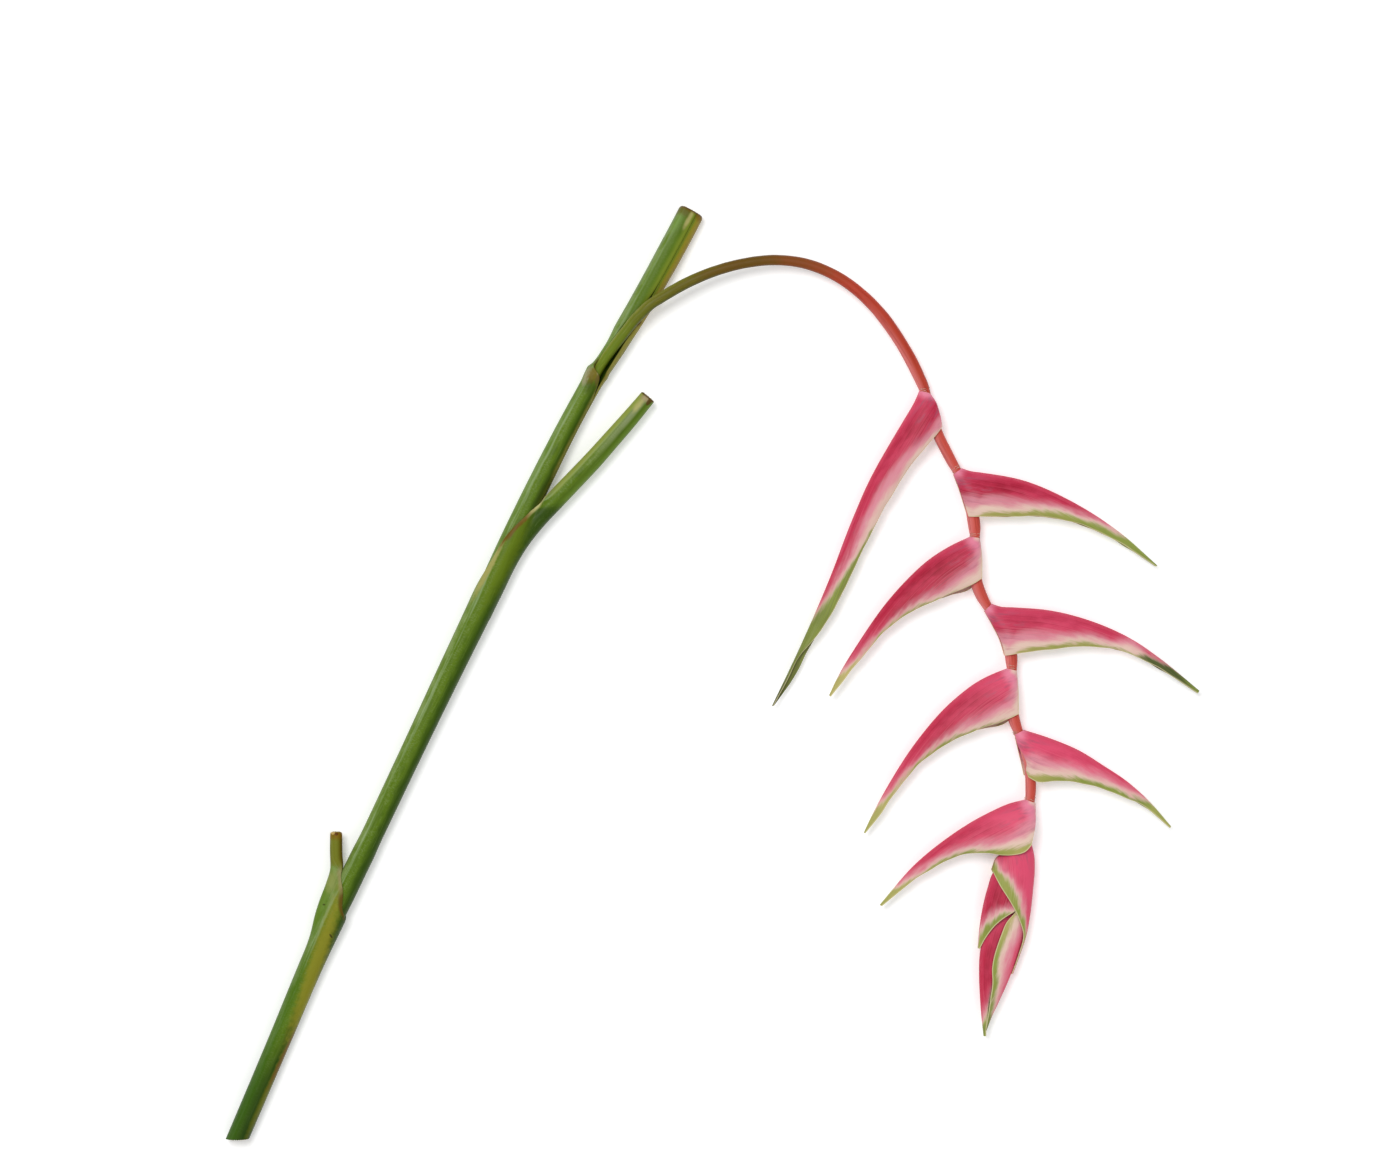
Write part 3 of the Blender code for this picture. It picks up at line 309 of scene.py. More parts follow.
# Each bract of the closed bud, from the outermost in. Its profile is rows of: share of the length, half-width,
# half-angle that the flanks wrap.
BUD_BRACTS = {
    "bract_8": {
        "keel": [(197.8, -105.5), (199.6, -114.0), (199.8, -122.0), (198.8, -134.5), (197.0, -150.0),
                 (194.5, -163.5), (190.5, -175.5), (186.5, -186.5)],
        "clasp": [(190.6, -106.6), (182.0, -110.8), (176.0, -114.5), (173.0, -122.0)],
        "margin": [(173.0, -122.0), (177.5, -131.0), (184.0, -141.5), (189.5, -152.0), (192.5, -162.5),
                   (189.5, -175.0), (185.4, -186.8)],
        "profile": [(0.0, 3.9, 160.0), (0.08, 5.6, 158.0), (0.17, 7.3, 150.0), (0.30, 8.4, 109.0),
                    (0.43, 8.6, 84.0), (0.56, 8.4, 57.0), (0.70, 7.4, 34.0), (0.85, 5.0, 29.0),
                    (1.0, 2.2, 30.0)],
        "clasp_share": 0.17,
        "colours": [(0.0, 1.0, 3.0, 0.0, 0.8), (0.17, 7.0, 4.0, 0.25, 0.9), (0.35, 5.8, 4.5, 0.2, 1.0),
                    (0.55, 3.0, 2.5, 0.1, 0.9), (0.7, 1.5, 1.2, 0.2, 0.9), (1.0, 1.0, 1.0, 0.2, 0.8)],
    },
    "bract_9": {
        "keel": [(188.0, -117.4), (181.0, -118.8), (174.4, -123.2), (170.4, -133.5), (167.4, -145.5),
                 (165.2, -160.0), (164.3, -170.5)],
        "clasp": [(194.6, -118.4), (192.5, -128.5), (190.5, -139.0), (186.5, -147.5)],
        "margin": [(186.5, -147.5), (179.5, -152.0), (173.5, -157.5), (168.8, -164.5), (165.5, -171.0)],
        "profile": [(0.0, 3.0, 158.0), (0.1, 4.6, 150.0), (0.24, 6.4, 122.0), (0.45, 7.1, 104.0),
                    (0.6, 7.1, 84.0), (0.75, 6.6, 62.0), (0.88, 5.1, 42.0), (1.0, 2.9, 32.0)],
        "clasp_share": 0.45,
        "colours": [(0.0, 0.0, 2.0, 0.0, 0.3), (0.35, 1.0, 4.0, 0.0, 0.3), (0.5, 3.4, 5.0, 0.0, 0.3),
                    (0.75, 3.6, 5.0, 0.0, 0.4), (1.0, 3.0, 2.5, 0.3, 0.6)],
    },
    "bract_10": {
        "keel": [(191.8, -128.6), (194.4, -136.5), (195.6, -145.0), (194.6, -154.0), (192.6, -164.5),
                 (189.4, -175.0), (185.4, -186.0), (181.7, -195.0), (177.1, -205.0), (172.9, -214.0),
                 (169.5, -223.0)],
        "clasp": [(186.4, -129.8), (185.5, -138.5), (187.0, -148.3)],
        "margin": [(187.0, -148.3), (181.7, -154.5), (178.5, -162.0), (174.8, -173.0), (173.0, -182.5),
                   (173.2, -192.0), (172.0, -202.0), (170.4, -213.0), (168.9, -222.8)],
        "profile": [(0.0, 2.7, 158.0), (0.10, 4.9, 118.0), (0.26, 5.8, 92.0), (0.43, 5.8, 96.0),
                    (0.58, 5.2, 98.0), (0.75, 4.1, 96.0), (0.9, 2.6, 92.0), (1.0, 1.4, 92.0)],
        "clasp_share": 0.17,
        "colours": [(0.0, 3.0, 11.0, 0.8, 1.0), (0.25, 3.4, 11.0, 0.7, 1.0), (0.45, 3.0, 8.5, 0.2, 1.0),
                    (0.62, 3.0, 6.0, -0.1, 0.9), (0.8, 2.8, 4.0, -0.2, 0.8), (0.93, 4.0, 2.0, -0.4, 0.5),
                    (1.0, 8.0, 1.0, -0.6, 0.4)],
    },
    "bract_11": {
        "keel": [(183.8, -138.2), (178.0, -143.4), (172.0, -152.0), (168.0, -163.0), (165.8, -173.0),
                 (165.2, -187.0), (165.8, -201.5), (166.7, -213.5), (168.0, -225.2)],
        "clasp": [(188.4, -139.4), (188.8, -147.0), (187.5, -156.5)],
        "margin": [(187.5, -156.5), (184.0, -168.5), (180.0, -181.0), (174.8, -193.0), (171.5, -204.0),
                   (170.3, -213.0), (169.6, -225.2)],
        "profile": [(0.0, 2.25, 158.0), (0.12, 3.0, 150.0), (0.27, 4.1, 150.0), (0.5, 4.0, 150.0),
                    (0.7, 3.1, 146.0), (0.85, 2.1, 125.0), (1.0, 1.2, 95.0)],
        "clasp_share": 0.17,
        "colours": [(0.0, -2.0, 6.0, 0.0, 0.9), (0.3, -2.0, 4.0, 0.0, 0.5), (0.5, -2.0, 2.0, 0.0, 0.2),
                    (0.75, -1.0, 3.0, 0.0, 0.3), (0.88, 1.5, 4.0, 0.2, 0.5), (0.94, 6.0, 2.0, -0.2, 0.3),
                    (1.0, 9.0, 1.0, -0.1, 0.2)],
    },
}
BUD_HEIGHTS = (8.7, 8.5)

# A bract's margin ripples in two waves: wavelength over 2 pi, phase between the flanks, height. They fade over
# this distance towards the keel, and move the margin up and out by these shares of their height.
MARGIN_WAVES = ((4.1, 2.0, 1.0), (2.3, 5.0, 0.6))
RIPPLE_FADE = 3.0
RIPPLE_UP = 0.6
RIPPLE_OUT = 0.5
OPEN_RIPPLE = 0.35
BUD_RIPPLE = 0.08
# The clasping part of a bract bends most, so its rows lie closer by this much.
CLASP_ROWS = 1.3
# A bract's wall at its margin as a share of the wall elsewhere, and how far in it has grown to the full wall.
MARGIN_WALL = 0.45
MARGIN_TAPER = 2.5
# A bract of the bud has no pink band along its clasping edge: the distance that keeps it off.
NO_CLASP_BAND = -30.0

# The cut fibres' seed. Then the scar threads' seeds, the points along each thread and its sides, how far it
# wanders in metres, and how closely the stalk is read to place it.
FIBRE_SEED = 5
THREAD_SEED = 11
WANDER_SEED = 3.0
THREAD_POINTS = 9
THREAD_SIDES = 6
THREAD_WANDER = 0.0006
SCAR_STEP = 0.5

# The stage, in metres: half the table's side, the height of its top, what both lights point at, and each
# light's place, width and share of the key light's power.
TABLE_REACH = 12.0
TABLE_TOP = -0.0003
LIT_SPOT = (0.0, 0.03, 0.0)
LIGHTS = {
    "key_light": ((-0.7, 0.9, 2.9), 1.3, 1.0),
    "fill_light": ((1.3, -0.9, 2.6), 2.4, 0.3),
}


# ---- reading the tables


def smooth_reader(knots, rows, flat_turns=False):
    """A function that reads a smooth curve through the rows at any value of the knots.

    With flat_turns it never swings past a row, so level stretches stay level.
    """
    knots = np.asarray(knots, float)
    rows = np.asarray(rows, float).reshape(len(knots), -1)
    gaps = np.diff(knots)[:, None]
    slopes = np.diff(rows, axis=0) / gaps
    before, after = slopes[:-1], slopes[1:]
    if flat_turns:
        turning = before * after <= 0
        middle = 2 * before * after / np.where(turning, 1.0, before + after)
        middle[turning] = 0.0
    else:
        middle = (before * gaps[1:] + after * gaps[:-1]) / (gaps[1:] + gaps[:-1])
    tangents = np.vstack([slopes[:1], middle, slopes[-1:]])

    def read(at):
        at = np.atleast_1d(np.asarray(at, float))
        span = np.clip(np.searchsorted(knots, at, side="right") - 1, 0, len(gaps) - 1)
        step = gaps[span]
        t = (at - knots[span])[:, None] / step
        start = (2 * t**3 - 3 * t**2 + 1) * rows[span] + (t**3 - 2 * t**2 + t) * step * tangents[span]
        end = (3 * t**2 - 2 * t**3) * rows[span + 1] + (t**3 - t**2) * step * tangents[span + 1]
        return start + end

    return read


def table_reader(table):
    """Reads the later columns of a table by its first, and holds its last row beyond its end."""
    table = np.asarray(table, float)
    read = smooth_reader(table[:, 0], table[:, 1:], flat_turns=True)
    return lambda at: read(np.clip(at, table[0, 0], table[-1, 0]))


def lengths_along(points):
    steps = np.linalg.norm(np.diff(points[:, :3], axis=0), axis=1)
    return np.concatenate([[0.0], np.cumsum(steps)])


def length_reader(points):
    """Reads an outline by the share of its length."""
    points = np.asarray(points, float)
    run = lengths_along(points)
    return smooth_reader(run / run[-1], points)


def spread_evenly(points, count):
    """The same line with its points an equal distance apart."""
    run = lengths_along(points)
    at = np.linspace(0.0, run[-1], count)
    return np.column_stack([np.interp(at, run, column) for column in points.T])


def graded(stops, end):
    """Values from the first stop to the end, at each stop's own step."""
    values = []
    for (start, step), (stop, _) in zip(stops, stops[1:] + [(end, 0.0)]):
        values.extend(np.linspace(start, stop, max(1, round((stop - start) / step)), endpoint=False))
    return np.array(values + [end])


def eased(values, start, end):
    """0 before start and 1 after end, with a soft turn at both."""
    t = np.clip((np.asarray(values, float) - start) / (end - start), 0.0, 1.0)
    return t * t * (3 - 2 * t)


def stem_at(levels):
    """Points on the stem's axis and its direction there, at the given values of y."""
    read = smooth_reader([y for _, y, _ in STEM_AXIS], STEM_AXIS, flat_turns=True)
    levels = np.atleast_1d(np.asarray(levels, float))
    points = read(levels)
    ways = read(levels + 1.0) - read(levels - 1.0)
    return points, ways / np.linalg.norm(ways, axis=1)[:, None]


def stem_level(points):
    """The level of the stem's axis that each point lies square to."""
    levels = points[:, 1].copy()
    for _ in range(5):
        centres, ways = stem_at(levels)
        levels += ((points - centres) * ways).sum(axis=1) * ways[:, 1]
    return levels


def across_axes(ways):
    """Unit vectors to the right of each direction and up from it, square to it."""
    right = np.cross(ways, UP)
    right /= np.linalg.norm(right, axis=1)[:, None]
    return right, np.cross(right, ways)


def tangents_of(points):
    steps = np.gradient(points, axis=0)
    return steps / np.linalg.norm(steps, axis=1)[:, None]


# ---- meshes


def add_attributes(mesh, values):
    """Stores numbers or vectors on a mesh's points for its materials to read."""
    for name, array in values.items():
        array = np.asarray(array, np.float32)
        kind, slot = ("FLOAT", "value") if array.ndim == 1 else ("FLOAT_VECTOR", "vector")
        mesh.attributes.new(name, kind, "POINT").data.foreach_set(slot, array.ravel())


def show_mesh(name, mesh):
    piece = bpy.data.objects.new(name, mesh)
    bpy.context.scene.collection.objects.link(piece)
    return piece


def face_outward(mesh):
    shape = bmesh.new()
    shape.from_mesh(mesh)
    bmesh.ops.recalc_face_normals(shape, faces=shape.faces)
    shape.to_mesh(mesh)
    shape.free()


def finished(piece):
    """The object with its modifiers' result as its plain mesh."""
    bpy.context.view_layer.update()
    mesh = bpy.data.meshes.new_from_object(piece.evaluated_get(bpy.context.evaluated_depsgraph_get()))
    piece.modifiers.clear()
    piece.data = mesh
    return piece


def put_in_place(piece, node):
    """Hands a finished piece over: it rides with the flower and stands for its solid."""
    piece.data.name = piece.name
    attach(piece, "root")
    if node:
        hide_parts(node)


def sheath_section(radius, wall, facing, opening, bulge=None):
    """Outer and inner arc of a rolled sheath's section, across the stem: side, height.

    A bulge is the petiole that grows out of the wall: its side, height, radius and the fillet round it.
    """
    lip = np.degrees(wall / 2 / radius)
    turns = np.radians(np.linspace(facing + opening + lip, facing + 360 - opening - lip, FINE_ARC))
    ways = np.column_stack([np.sin(turns), np.cos(turns)])
    reach = np.full(len(turns), radius)
    if bulge is not None:
        reach = union_reach(ways, radius, *bulge)
    outer = spread_evenly(reach[:, None] * ways, ARC_POINTS)
    inner = spread_evenly((radius - wall) * ways[::-1], ARC_POINTS)
    return outer, inner


def union_reach(ways, radius, side, height, size, fillet):
    """How far the soft union of the sheath and the petiole's disc reaches along each way."""
    low = np.full(len(ways), radius * 0.9)
    high = np.full(len(ways), radius + BRANCH_REACH)
    for _ in range(HALVINGS):
        middle = (low + high) / 2
        to_sheath = middle - radius
        to_petiole = np.hypot(middle * ways[:, 0] - side, middle * ways[:, 1] - height) - size
        share = np.clip(0.5 + 0.5 * (to_petiole - to_sheath) / fillet, 0.0, 1.0)
        soft = to_petiole * (1 - share) + to_sheath * share - fillet * share * (1 - share)
        low = np.where(soft < 0, middle, low)
        high = np.where(soft < 0, high, middle)
    return (low + high) / 2


def channel_section(height, width, left_edge, right_edge, lip, back):
    """Outer and inner arc of a channelled petiole's section: side, height.

    The opening's edges are angles from straight up, with the stem's right at 90.
    """
    facing = np.radians((left_edge + right_edge) / 2)
    toward = np.array([np.sin(facing), np.cos(facing)])
    across = np.array([np.cos(facing), -np.sin(facing)])
    start = np.radians((right_edge - left_edge) / 2) + lip / 2 / height
    turns = np.linspace(start, 2 * np.pi - start, FINE_ARC)
    outer = height * np.cos(turns)[:, None] * toward + width * np.sin(turns)[:, None] * across
    shift = (back - lip) / 2
    inner_height = height - (back + lip) / 2
    inner_width = inner_height * width / height
    inner_start = np.arctan2(width * np.sin(start), height * np.cos(start) - shift)
    turns = np.linspace(2 * np.pi - inner_start, inner_start, FINE_ARC)
    inner = (shift + inner_height * np.cos(turns))[:, None] * toward \
        + inner_width * np.sin(turns)[:, None] * across
    return spread_evenly(outer, ARC_POINTS), spread_evenly(inner, ARC_POINTS)


def closed_section(outer, inner):
    """The two arcs joined round their lips. Point k of the ring faces point -1 - k across the wall."""
    turns = np.radians(LIP_TURNS)[:, None]

    def lip(start, end, before):
        middle = (start + end) / 2
        half = start - middle
        away = start - before
        away = away - half * (away @ half) / max(half @ half, TINY)
        away *= np.linalg.norm(half) / max(np.linalg.norm(away), TINY)
        return middle + np.cos(turns) * half + np.sin(turns) * away

    far = lip(outer[-1], inner[0], outer[-2])
    near = lip(inner[-1], outer[0], inner[-2])
    return np.vstack([near[2:], outer, far, inner, near[:2]])


def placed(section, centre, way):
    """A section's points in space, square to the way that the stem runs."""
    right, up = across_axes(way[None])
    return centre + section[:, :1] * right + section[:, 1:] * up


def loft(name, rows, attributes):
    """A closed mesh through rings of equal length, with a wall's end faces at both ends."""
    rows = np.asarray(rows)
    count = rows.shape[1]
    start = (np.arange(len(rows) - 1)[:, None] * count + np.arange(count)).ravel()
    beside = (np.arange(len(rows) - 1)[:, None] * count + (np.arange(count) + 1) % count).ravel()
    skin = np.column_stack([start, beside, beside + count, start + count])
    half = np.arange(count // 2 - 1)
    wall = np.column_stack([half, count - 1 - half, count - 2 - half, half + 1])
    last = (len(rows) - 1) * count
    faces = np.vstack([skin, wall, last + wall[:, ::-1]])
    mesh = bpy.data.meshes.new(name)
    mesh.from_pydata(rows.reshape(-1, 3) * MM, [], faces.tolist())
    face_outward(mesh)
    mesh.shade_smooth()
    mesh.polygons.foreach_set("material_index", np.repeat([0, 1], [len(skin), 2 * len(wall)]))
    add_attributes(mesh, attributes)
    mesh.set_sharp_from_angle(angle=SHEATH_CREASE)
    return show_mesh(name, mesh)


def slide_to_foot(ring):
    """Moves a ring along the stem, on to the straight cut at its foot."""
    way = stem_at(FOOT_Y)[1][0]
    ring += way * ((FOOT_Y - ring[:, 1]) / way[1])[:, None]


def square_foot(rows, centres, ways):
    """Ends the rings at the straight cut at the foot, and drops what lies under it."""
    rows = np.array(rows)
    first = max(1, int((rows[:, :, 1].min(axis=1) < FOOT_Y + 0.5).sum())) - 1
    slide_to_foot(rows[first])
    return rows[first:], np.array(centres)[first:], np.array(ways)[first:]


def grain_and_turn(rings, centres, ways, run):
    """Each point's place across the piece and along it, and its turn from straight up."""
    right, up = across_axes(ways)
    offset = rings - centres[:, None]
    side = (offset * right[:, None]).sum(axis=2)
    height = (offset * up[:, None]).sum(axis=2)
    along = np.repeat(run[:, None], rings.shape[1], axis=1)
    return {
        "grain": np.stack([side, height, along], axis=2).reshape(-1, 3),
        "turn": np.degrees(np.arctan2(side, height)).ravel(),
    }


def leaf_base(name, rows, centres, ways):
    """The mesh through a leaf base's rings, with what its material reads, such as how far its cut end is."""
    rows, centres, ways = square_foot(rows, centres, ways)
    count = rows.shape[1]
    run = lengths_along(centres)
    steps = np.linalg.norm(np.roll(rows, -1, axis=1) - rows, axis=2)
    half = count // 2
    gone = np.cumsum(steps, axis=1) - steps
    outer = np.minimum(gone[:, :half], gone[:, half - 1:half] - gone[:, :half])
    inner = np.minimum(gone[:, half:] - gone[:, half:half + 1], gone[:, -1:] - gone[:, half:])
    inside = np.zeros(count)
    inside[half + 2:-2] = 1.0
    return loft(name, rows, {
        **grain_and_turn(rows, centres, ways, run),
        "lip": np.concatenate([outer, inner], axis=1).ravel(),
        "end": np.repeat(run[-1] - run, count),
        "inside": np.tile(inside, len(rows)),
    })


def inset_at(run, end, rounding):
    """How far the rounded edge of a cut end has drawn in."""
    return rounding * (1 - np.sqrt(1 - np.clip((run - end + rounding) / rounding, 0.0, 1.0) ** 2))


def clear_of_core(points, core):
    """Moves points out of what the sheath is rolled round."""
    levels = stem_level(points)
    centres, _ = stem_at(levels)
    away = points - centres
    distance = np.linalg.norm(away, axis=1)
    need = core(levels)[:, 0] + CORE_GAP
    return centres + away * np.maximum(need / distance, 1.0)[:, None]


def branched_leaf(
    name, sheath, mouth, facing, petiole, groove, core, ring_steps, blend, petiole_step, rounding,
):
    """A sheath rolled round the stem whose wall swells into a petiole and follows it to its cut end."""
    levels = graded(ring_steps, blend[1])
    core = table_reader(core)
    radii = table_reader(sheath)(levels)[:, 0]
    openings = table_reader(mouth)(levels)[:, 0]
    centres, ways = stem_at(levels)
    path = length_reader(petiole)
    shares = np.linspace(0.0, 1.0, PETIOLE_READINGS)
    line = path(shares)
    crossing = stem_level(line[:, :3])
    left_edge, right_edge, lip, back = groove

    def petiole_ring(share):
        (x, y, z, size), = path(share)
        ahead, behind = path(share + LOOK_AHEAD)[0, :3], path(share - LOOK_AHEAD)[0, :3]
        way = (ahead - behind) / np.linalg.norm(ahead - behind)
        section = closed_section(*channel_section(size, size, left_edge, right_edge, lip * size, back * size))
        return placed(section, np.array([x, y, z]), way), np.array([x, y, z]), way

    rows, middles, heads = [], [], []
    for level, radius, opening, centre, way, weight in zip(
        levels, radii, openings, centres, ways, eased(levels, *blend)
    ):
        bulge = None
        share = np.interp(level, crossing, shares)
        if level > crossing[0]:
            (right,), (up,) = across_axes(way[None])
            *spot, size = path(share)[0]
            offset = np.array(spot) - centre
            bulge = (offset @ right, offset @ up, size, BRANCH_FILLET)
        section = closed_section(*sheath_section(radius, SHEATH_WALL, facing, opening, bulge))
        ring = placed(section, centre, way)
        if weight > 0:
            ring_ahead, middle, head = petiole_ring(share)
            ring = ring * (1 - weight) + ring_ahead * weight
            centre = centre * (1 - weight) + middle * weight
            way = way * (1 - weight) + head * weight
        rows.append(clear_of_core(ring, core) if level > blend[0] - CLEARED_BELOW_MOUTH else ring)
        middles.append(centre)
        heads.append(way / np.linalg.norm(way))
    first = np.interp(levels[-1], crossing, shares)
    left = (1 - first) * lengths_along(line)[-1]
    straight = graded([(petiole_step, petiole_step)], left - rounding)
    for run in (*straight, left - rounding * 0.6, left - rounding * 0.25, left):
        ring, middle, head = petiole_ring(first + (1 - first) * run / left)
        ring = middle + (ring - middle) * (1 - 0.8 * inset_at(run, left, rounding) / path(1.0)[0, 3])
        rows.append(clear_of_core(ring, core))
        middles.append(middle)
        heads.append(head)
    return leaf_base(name, rows, middles, heads)


def upper_leaf(name):
    """The upper leaf's base: a closed sheath, its mouth, and the channelled petiole up to its cut end."""
    start = UPPER_PETIOLE[0][0]
    below = [level for level in STEM_LEVELS if level < start]
    sheath = [
        (level, radius, radius, *UPPER_SLIT, SHEATH_WALL, SHEATH_WALL, 0.0)
        for level, radius in zip(below, table_reader(UPPER_SHEATH)(below)[:, 0])
    ]
    top = UPPER_PETIOLE[-1][0]
    levels = np.concatenate([
        graded(UPPER_RING_STEPS, top - UPPER_ROUNDING),
        top - UPPER_ROUNDING * np.array([0.75, 0.5, 0.3, 0.15, 0.05, 0.0]),
    ])
    centres, ways = stem_at(levels)
    rows = []
    for level, centre, way, row in zip(levels, centres, ways, table_reader(sheath + UPPER_PETIOLE)(levels)):
        section = closed_section(*channel_section(*row[:-1])) + np.array([row[-1], 0.0])
        shrink = 1 - 0.75 * inset_at(level, top, UPPER_ROUNDING) / row[0]
        rows.append(placed(section * shrink, centre, way))
    return leaf_base(name, rows, centres, ways)


def stalk_line(step):
    """The flower stalk's middle and radius, and how far each point lies past the mouth it comes out of."""
    inner_levels = [level for level in STEM_LEVELS if level <= STALK_IN_STEM[-1][0]]
    inside = np.hstack([stem_at(inner_levels)[0], table_reader(STALK_IN_STEM)(inner_levels)])
    knots = np.vstack([inside, STALK])
    run = lengths_along(knots)
    start = run[len(inside)]
    at = np.concatenate([graded([(0.0, INNER_STALK_STEP)], start)[:-1], graded([(start, step)], run[-1])])
    return smooth_reader(run, knots)(at), at - start


def margin_ripple(run, side, shares, from_margin, height):
    """The waves along a bract's margins, which die away towards its keel and both its ends."""
    fade = np.exp(-from_margin / RIPPLE_FADE) * eased(shares, 0.02, 0.2) * (1 - eased(shares, 0.8, 1.0))
    waves = sum(part * np.sin(run / length + phase * side) for length, phase, part in MARGIN_WAVES)
    return height * fade * waves


def bract_sheet(name, row, profile, clasp_share, heights, ripple_height):
    """One open sheet, folded along its keel: each row runs from the near margin round to the far one."""
    sizes = bpy.context.scene.heliconia_bracts
    clasp_rows = max(8, round(sizes.rows * clasp_share * CLASP_ROWS))
    shares = np.concatenate([
        np.linspace(0.0, clasp_share, clasp_rows + 1),
        np.linspace(clasp_share, 1.0, sizes.rows - clasp_rows + 1)[1:],
    ])
    at_clasp = shares[:clasp_rows + 1] / clasp_share
    past_clasp = (shares[clasp_rows + 1:] - clasp_share) / (1.0 - clasp_share)

    def edge(clasp, margin):
        return np.vstack([length_reader(clasp)(at_clasp), length_reader(margin)(past_clasp)])

    keel = length_reader(row["keel"])(shares)
    near_edge = edge(row.get("near_clasp", row["clasp"]), row["margin"])
    far_edge = edge(row["clasp"], row.get("far_margin", row["margin"]))
    half_widths, wraps, leans = table_reader(profile)(shares).T[:, :, None]
    levels = heights[0] + (heights[1] - heights[0]) * shares
    wraps = np.radians(wraps)
    columns = sizes.columns + 1
    middle = sizes.columns // 2
    turns = np.linspace(1, -1, columns) * wraps
    down = (1 - np.cos(turns)) / (1 - np.cos(wraps))
    out = half_widths * np.sin(turns) * (1 - leans * np.cos(turns))
    reach = np.where((turns > 0)[:, :, None], near_edge[:, None], far_edge[:, None]) - keel[:, None]
    sheet = np.dstack([keel[:, None] + down[:, :, None] * reach, levels[:, None] + out])

    on_near = np.arange(columns) <= middle
    steps = np.linalg.norm(np.diff(sheet, axis=1), axis=2)
    across = np.concatenate([np.zeros((len(shares), 1)), np.cumsum(steps, axis=1)], axis=1)
    near_half = across[:, middle:middle + 1]
    half = np.where(on_near, near_half, across[:, -1:] - near_half)
    from_keel = np.abs(across - near_half)
    from_margin = half - from_keel
    side = np.where(on_near, 1.0, -1.0) * np.ones_like(across)
    run = lengths_along(np.column_stack([keel, levels]))[:, None]
    ripple = margin_ripple(run, side, shares[:, None], from_margin, ripple_height)
    outward = ripple * RIPPLE_OUT / np.maximum(np.linalg.norm(reach, axis=2), 1.0)
    sheet[:, :, 2] += ripple * side * RIPPLE_UP
    sheet[:, :, :2] += outward[:, :, None] * reach

    near_base = (1 - np.minimum(shares / (1.6 * clasp_share), 1.0))[:, None]
    share_out = (1 - row.get("hug", 1.0) * near_base**2) * from_keel / half
    band = (1 - share_out) * np.where(shares[:, None] < clasp_share, half[clasp_rows], half)
    clasp_band = row.get("clasp_band", NO_CLASP_BAND) * (0.2 + 0.8 * from_keel / half)
    bands = zip(("green", "pale", "tan", "pink"), table_reader(row["colours"])(shares).T)
    index = np.arange(len(shares) * columns).reshape(len(shares), columns)
    faces = np.stack([index[:-1, :-1], index[:-1, 1:], index[1:, 1:], index[1:, :-1]], axis=2).reshape(-1, 4)
    mesh = bpy.data.meshes.new(name)
    mesh.from_pydata(sheet.reshape(-1, 3) * MM, [], faces.tolist())
    add_attributes(mesh, {
        "grain": np.dstack([from_keel, side * 10.0, np.repeat(run, columns, axis=1)]).reshape(-1, 3),
        "along": np.repeat(shares, columns), "margin": band.ravel(), "rim": from_margin.ravel(),
        "keel": from_keel.ravel(), **{label: np.repeat(values, columns) for label, values in bands},
        "clasp": (run - clasp_band).ravel(),
    })
    mesh.shade_smooth()
    height = sheet[:, :, 2].mean() * MM
    if sum((face.center.z - height) * face.normal.z * face.area for face in mesh.polygons) < 0:
        mesh.flip_normals()
    piece = show_mesh(name, mesh)
    thin = piece.vertex_groups.new(name="thin")
    weights = np.round(MARGIN_WALL + (1 - MARGIN_WALL) * eased(from_margin.ravel(), 0.0, MARGIN_TAPER), 2)
    for weight in np.unique(weights):
        thin.add(np.flatnonzero(weights == weight).tolist(), float(weight), "REPLACE")
    return piece


def bract(name, node, slot, wall, *shape):
    """One bract: its sheet, given a wall with a lining and a rim."""
    piece = bract_sheet(name, *shape)
    for material in (bract_skin(), bract_lining(), bract_rim()):
        piece.data.materials.append(material)
    shell = piece.modifiers.new("wall", "SOLIDIFY")
    shell.thickness = wall * MM
    shell.offset = -1.0
    shell.use_even_offset = False
    shell.vertex_group = "thin"
    shell.material_offset = 1
    shell.material_offset_rim = 2
    finished(piece)
    piece.vertex_groups.clear()
    piece.data.set_sharp_from_angle(angle=THIN_CREASE)
    put_in_place(piece, node)


# ---- nodes


class Field:
    """A node's output. An expression on numbers adds the Math nodes that work it out."""

    def __init__(self, nodes, socket):
        self.nodes = nodes
        self.socket = socket

    def maths(self, operation, *values, clamp=False):
        settings = {"operation": operation, "use_clamp": clamp}
        return self.nodes.add("ShaderNodeMath", settings, dict(enumerate(values)))

    def __add__(self, other):
        return self.maths("ADD", self, other)

    def __sub__(self, other):
        return self.maths("SUBTRACT", self, other)

    def __rsub__(self, other):
        return self.maths("SUBTRACT", other, self)

    def __mul__(self, other):
        return self.maths("MULTIPLY", self, other)

    def __truediv__(self, other):
        return self.maths("DIVIDE", self, other)

    __radd__ = __add__

    def capped(self):
        return self.maths("ADD", self, 0.0, clamp=True)

    def eased(self, start, end):
        """0 at start and 1 at end, with a soft turn at both."""
        return self.nodes.add(
            "ShaderNodeMapRange", {"interpolation_type": "SMOOTHSTEP"},
            {"Value": self, "From Min": start, "From Max": end},
        )


class Nodes:
    """Adds nodes to one tree, for a material or for geometry."""

    def __init__(self, tree):
        self.tree = tree

    def add(self, kind, settings=None, inputs=None, output=0):
        """A node of any kind: its settings, then its inputs as values or as other nodes' outputs."""
        node = self.tree.nodes.new(kind)
        for name, value in (settings or {}).items():
            setattr(node, name, value)
        for name, value in (inputs or {}).items():
            if isinstance(value, Field):
                self.tree.links.new(value.socket, node.inputs[name])
            else:
                node.inputs[name].default_value = value
        return Field(self, node.outputs[output])

    def attribute(self, name, output="Fac"):
        return self.add("ShaderNodeAttribute", {"attribute_name": name}, output=output)

    def object_place(self):
        return self.add("ShaderNodeTexCoord", output="Object")


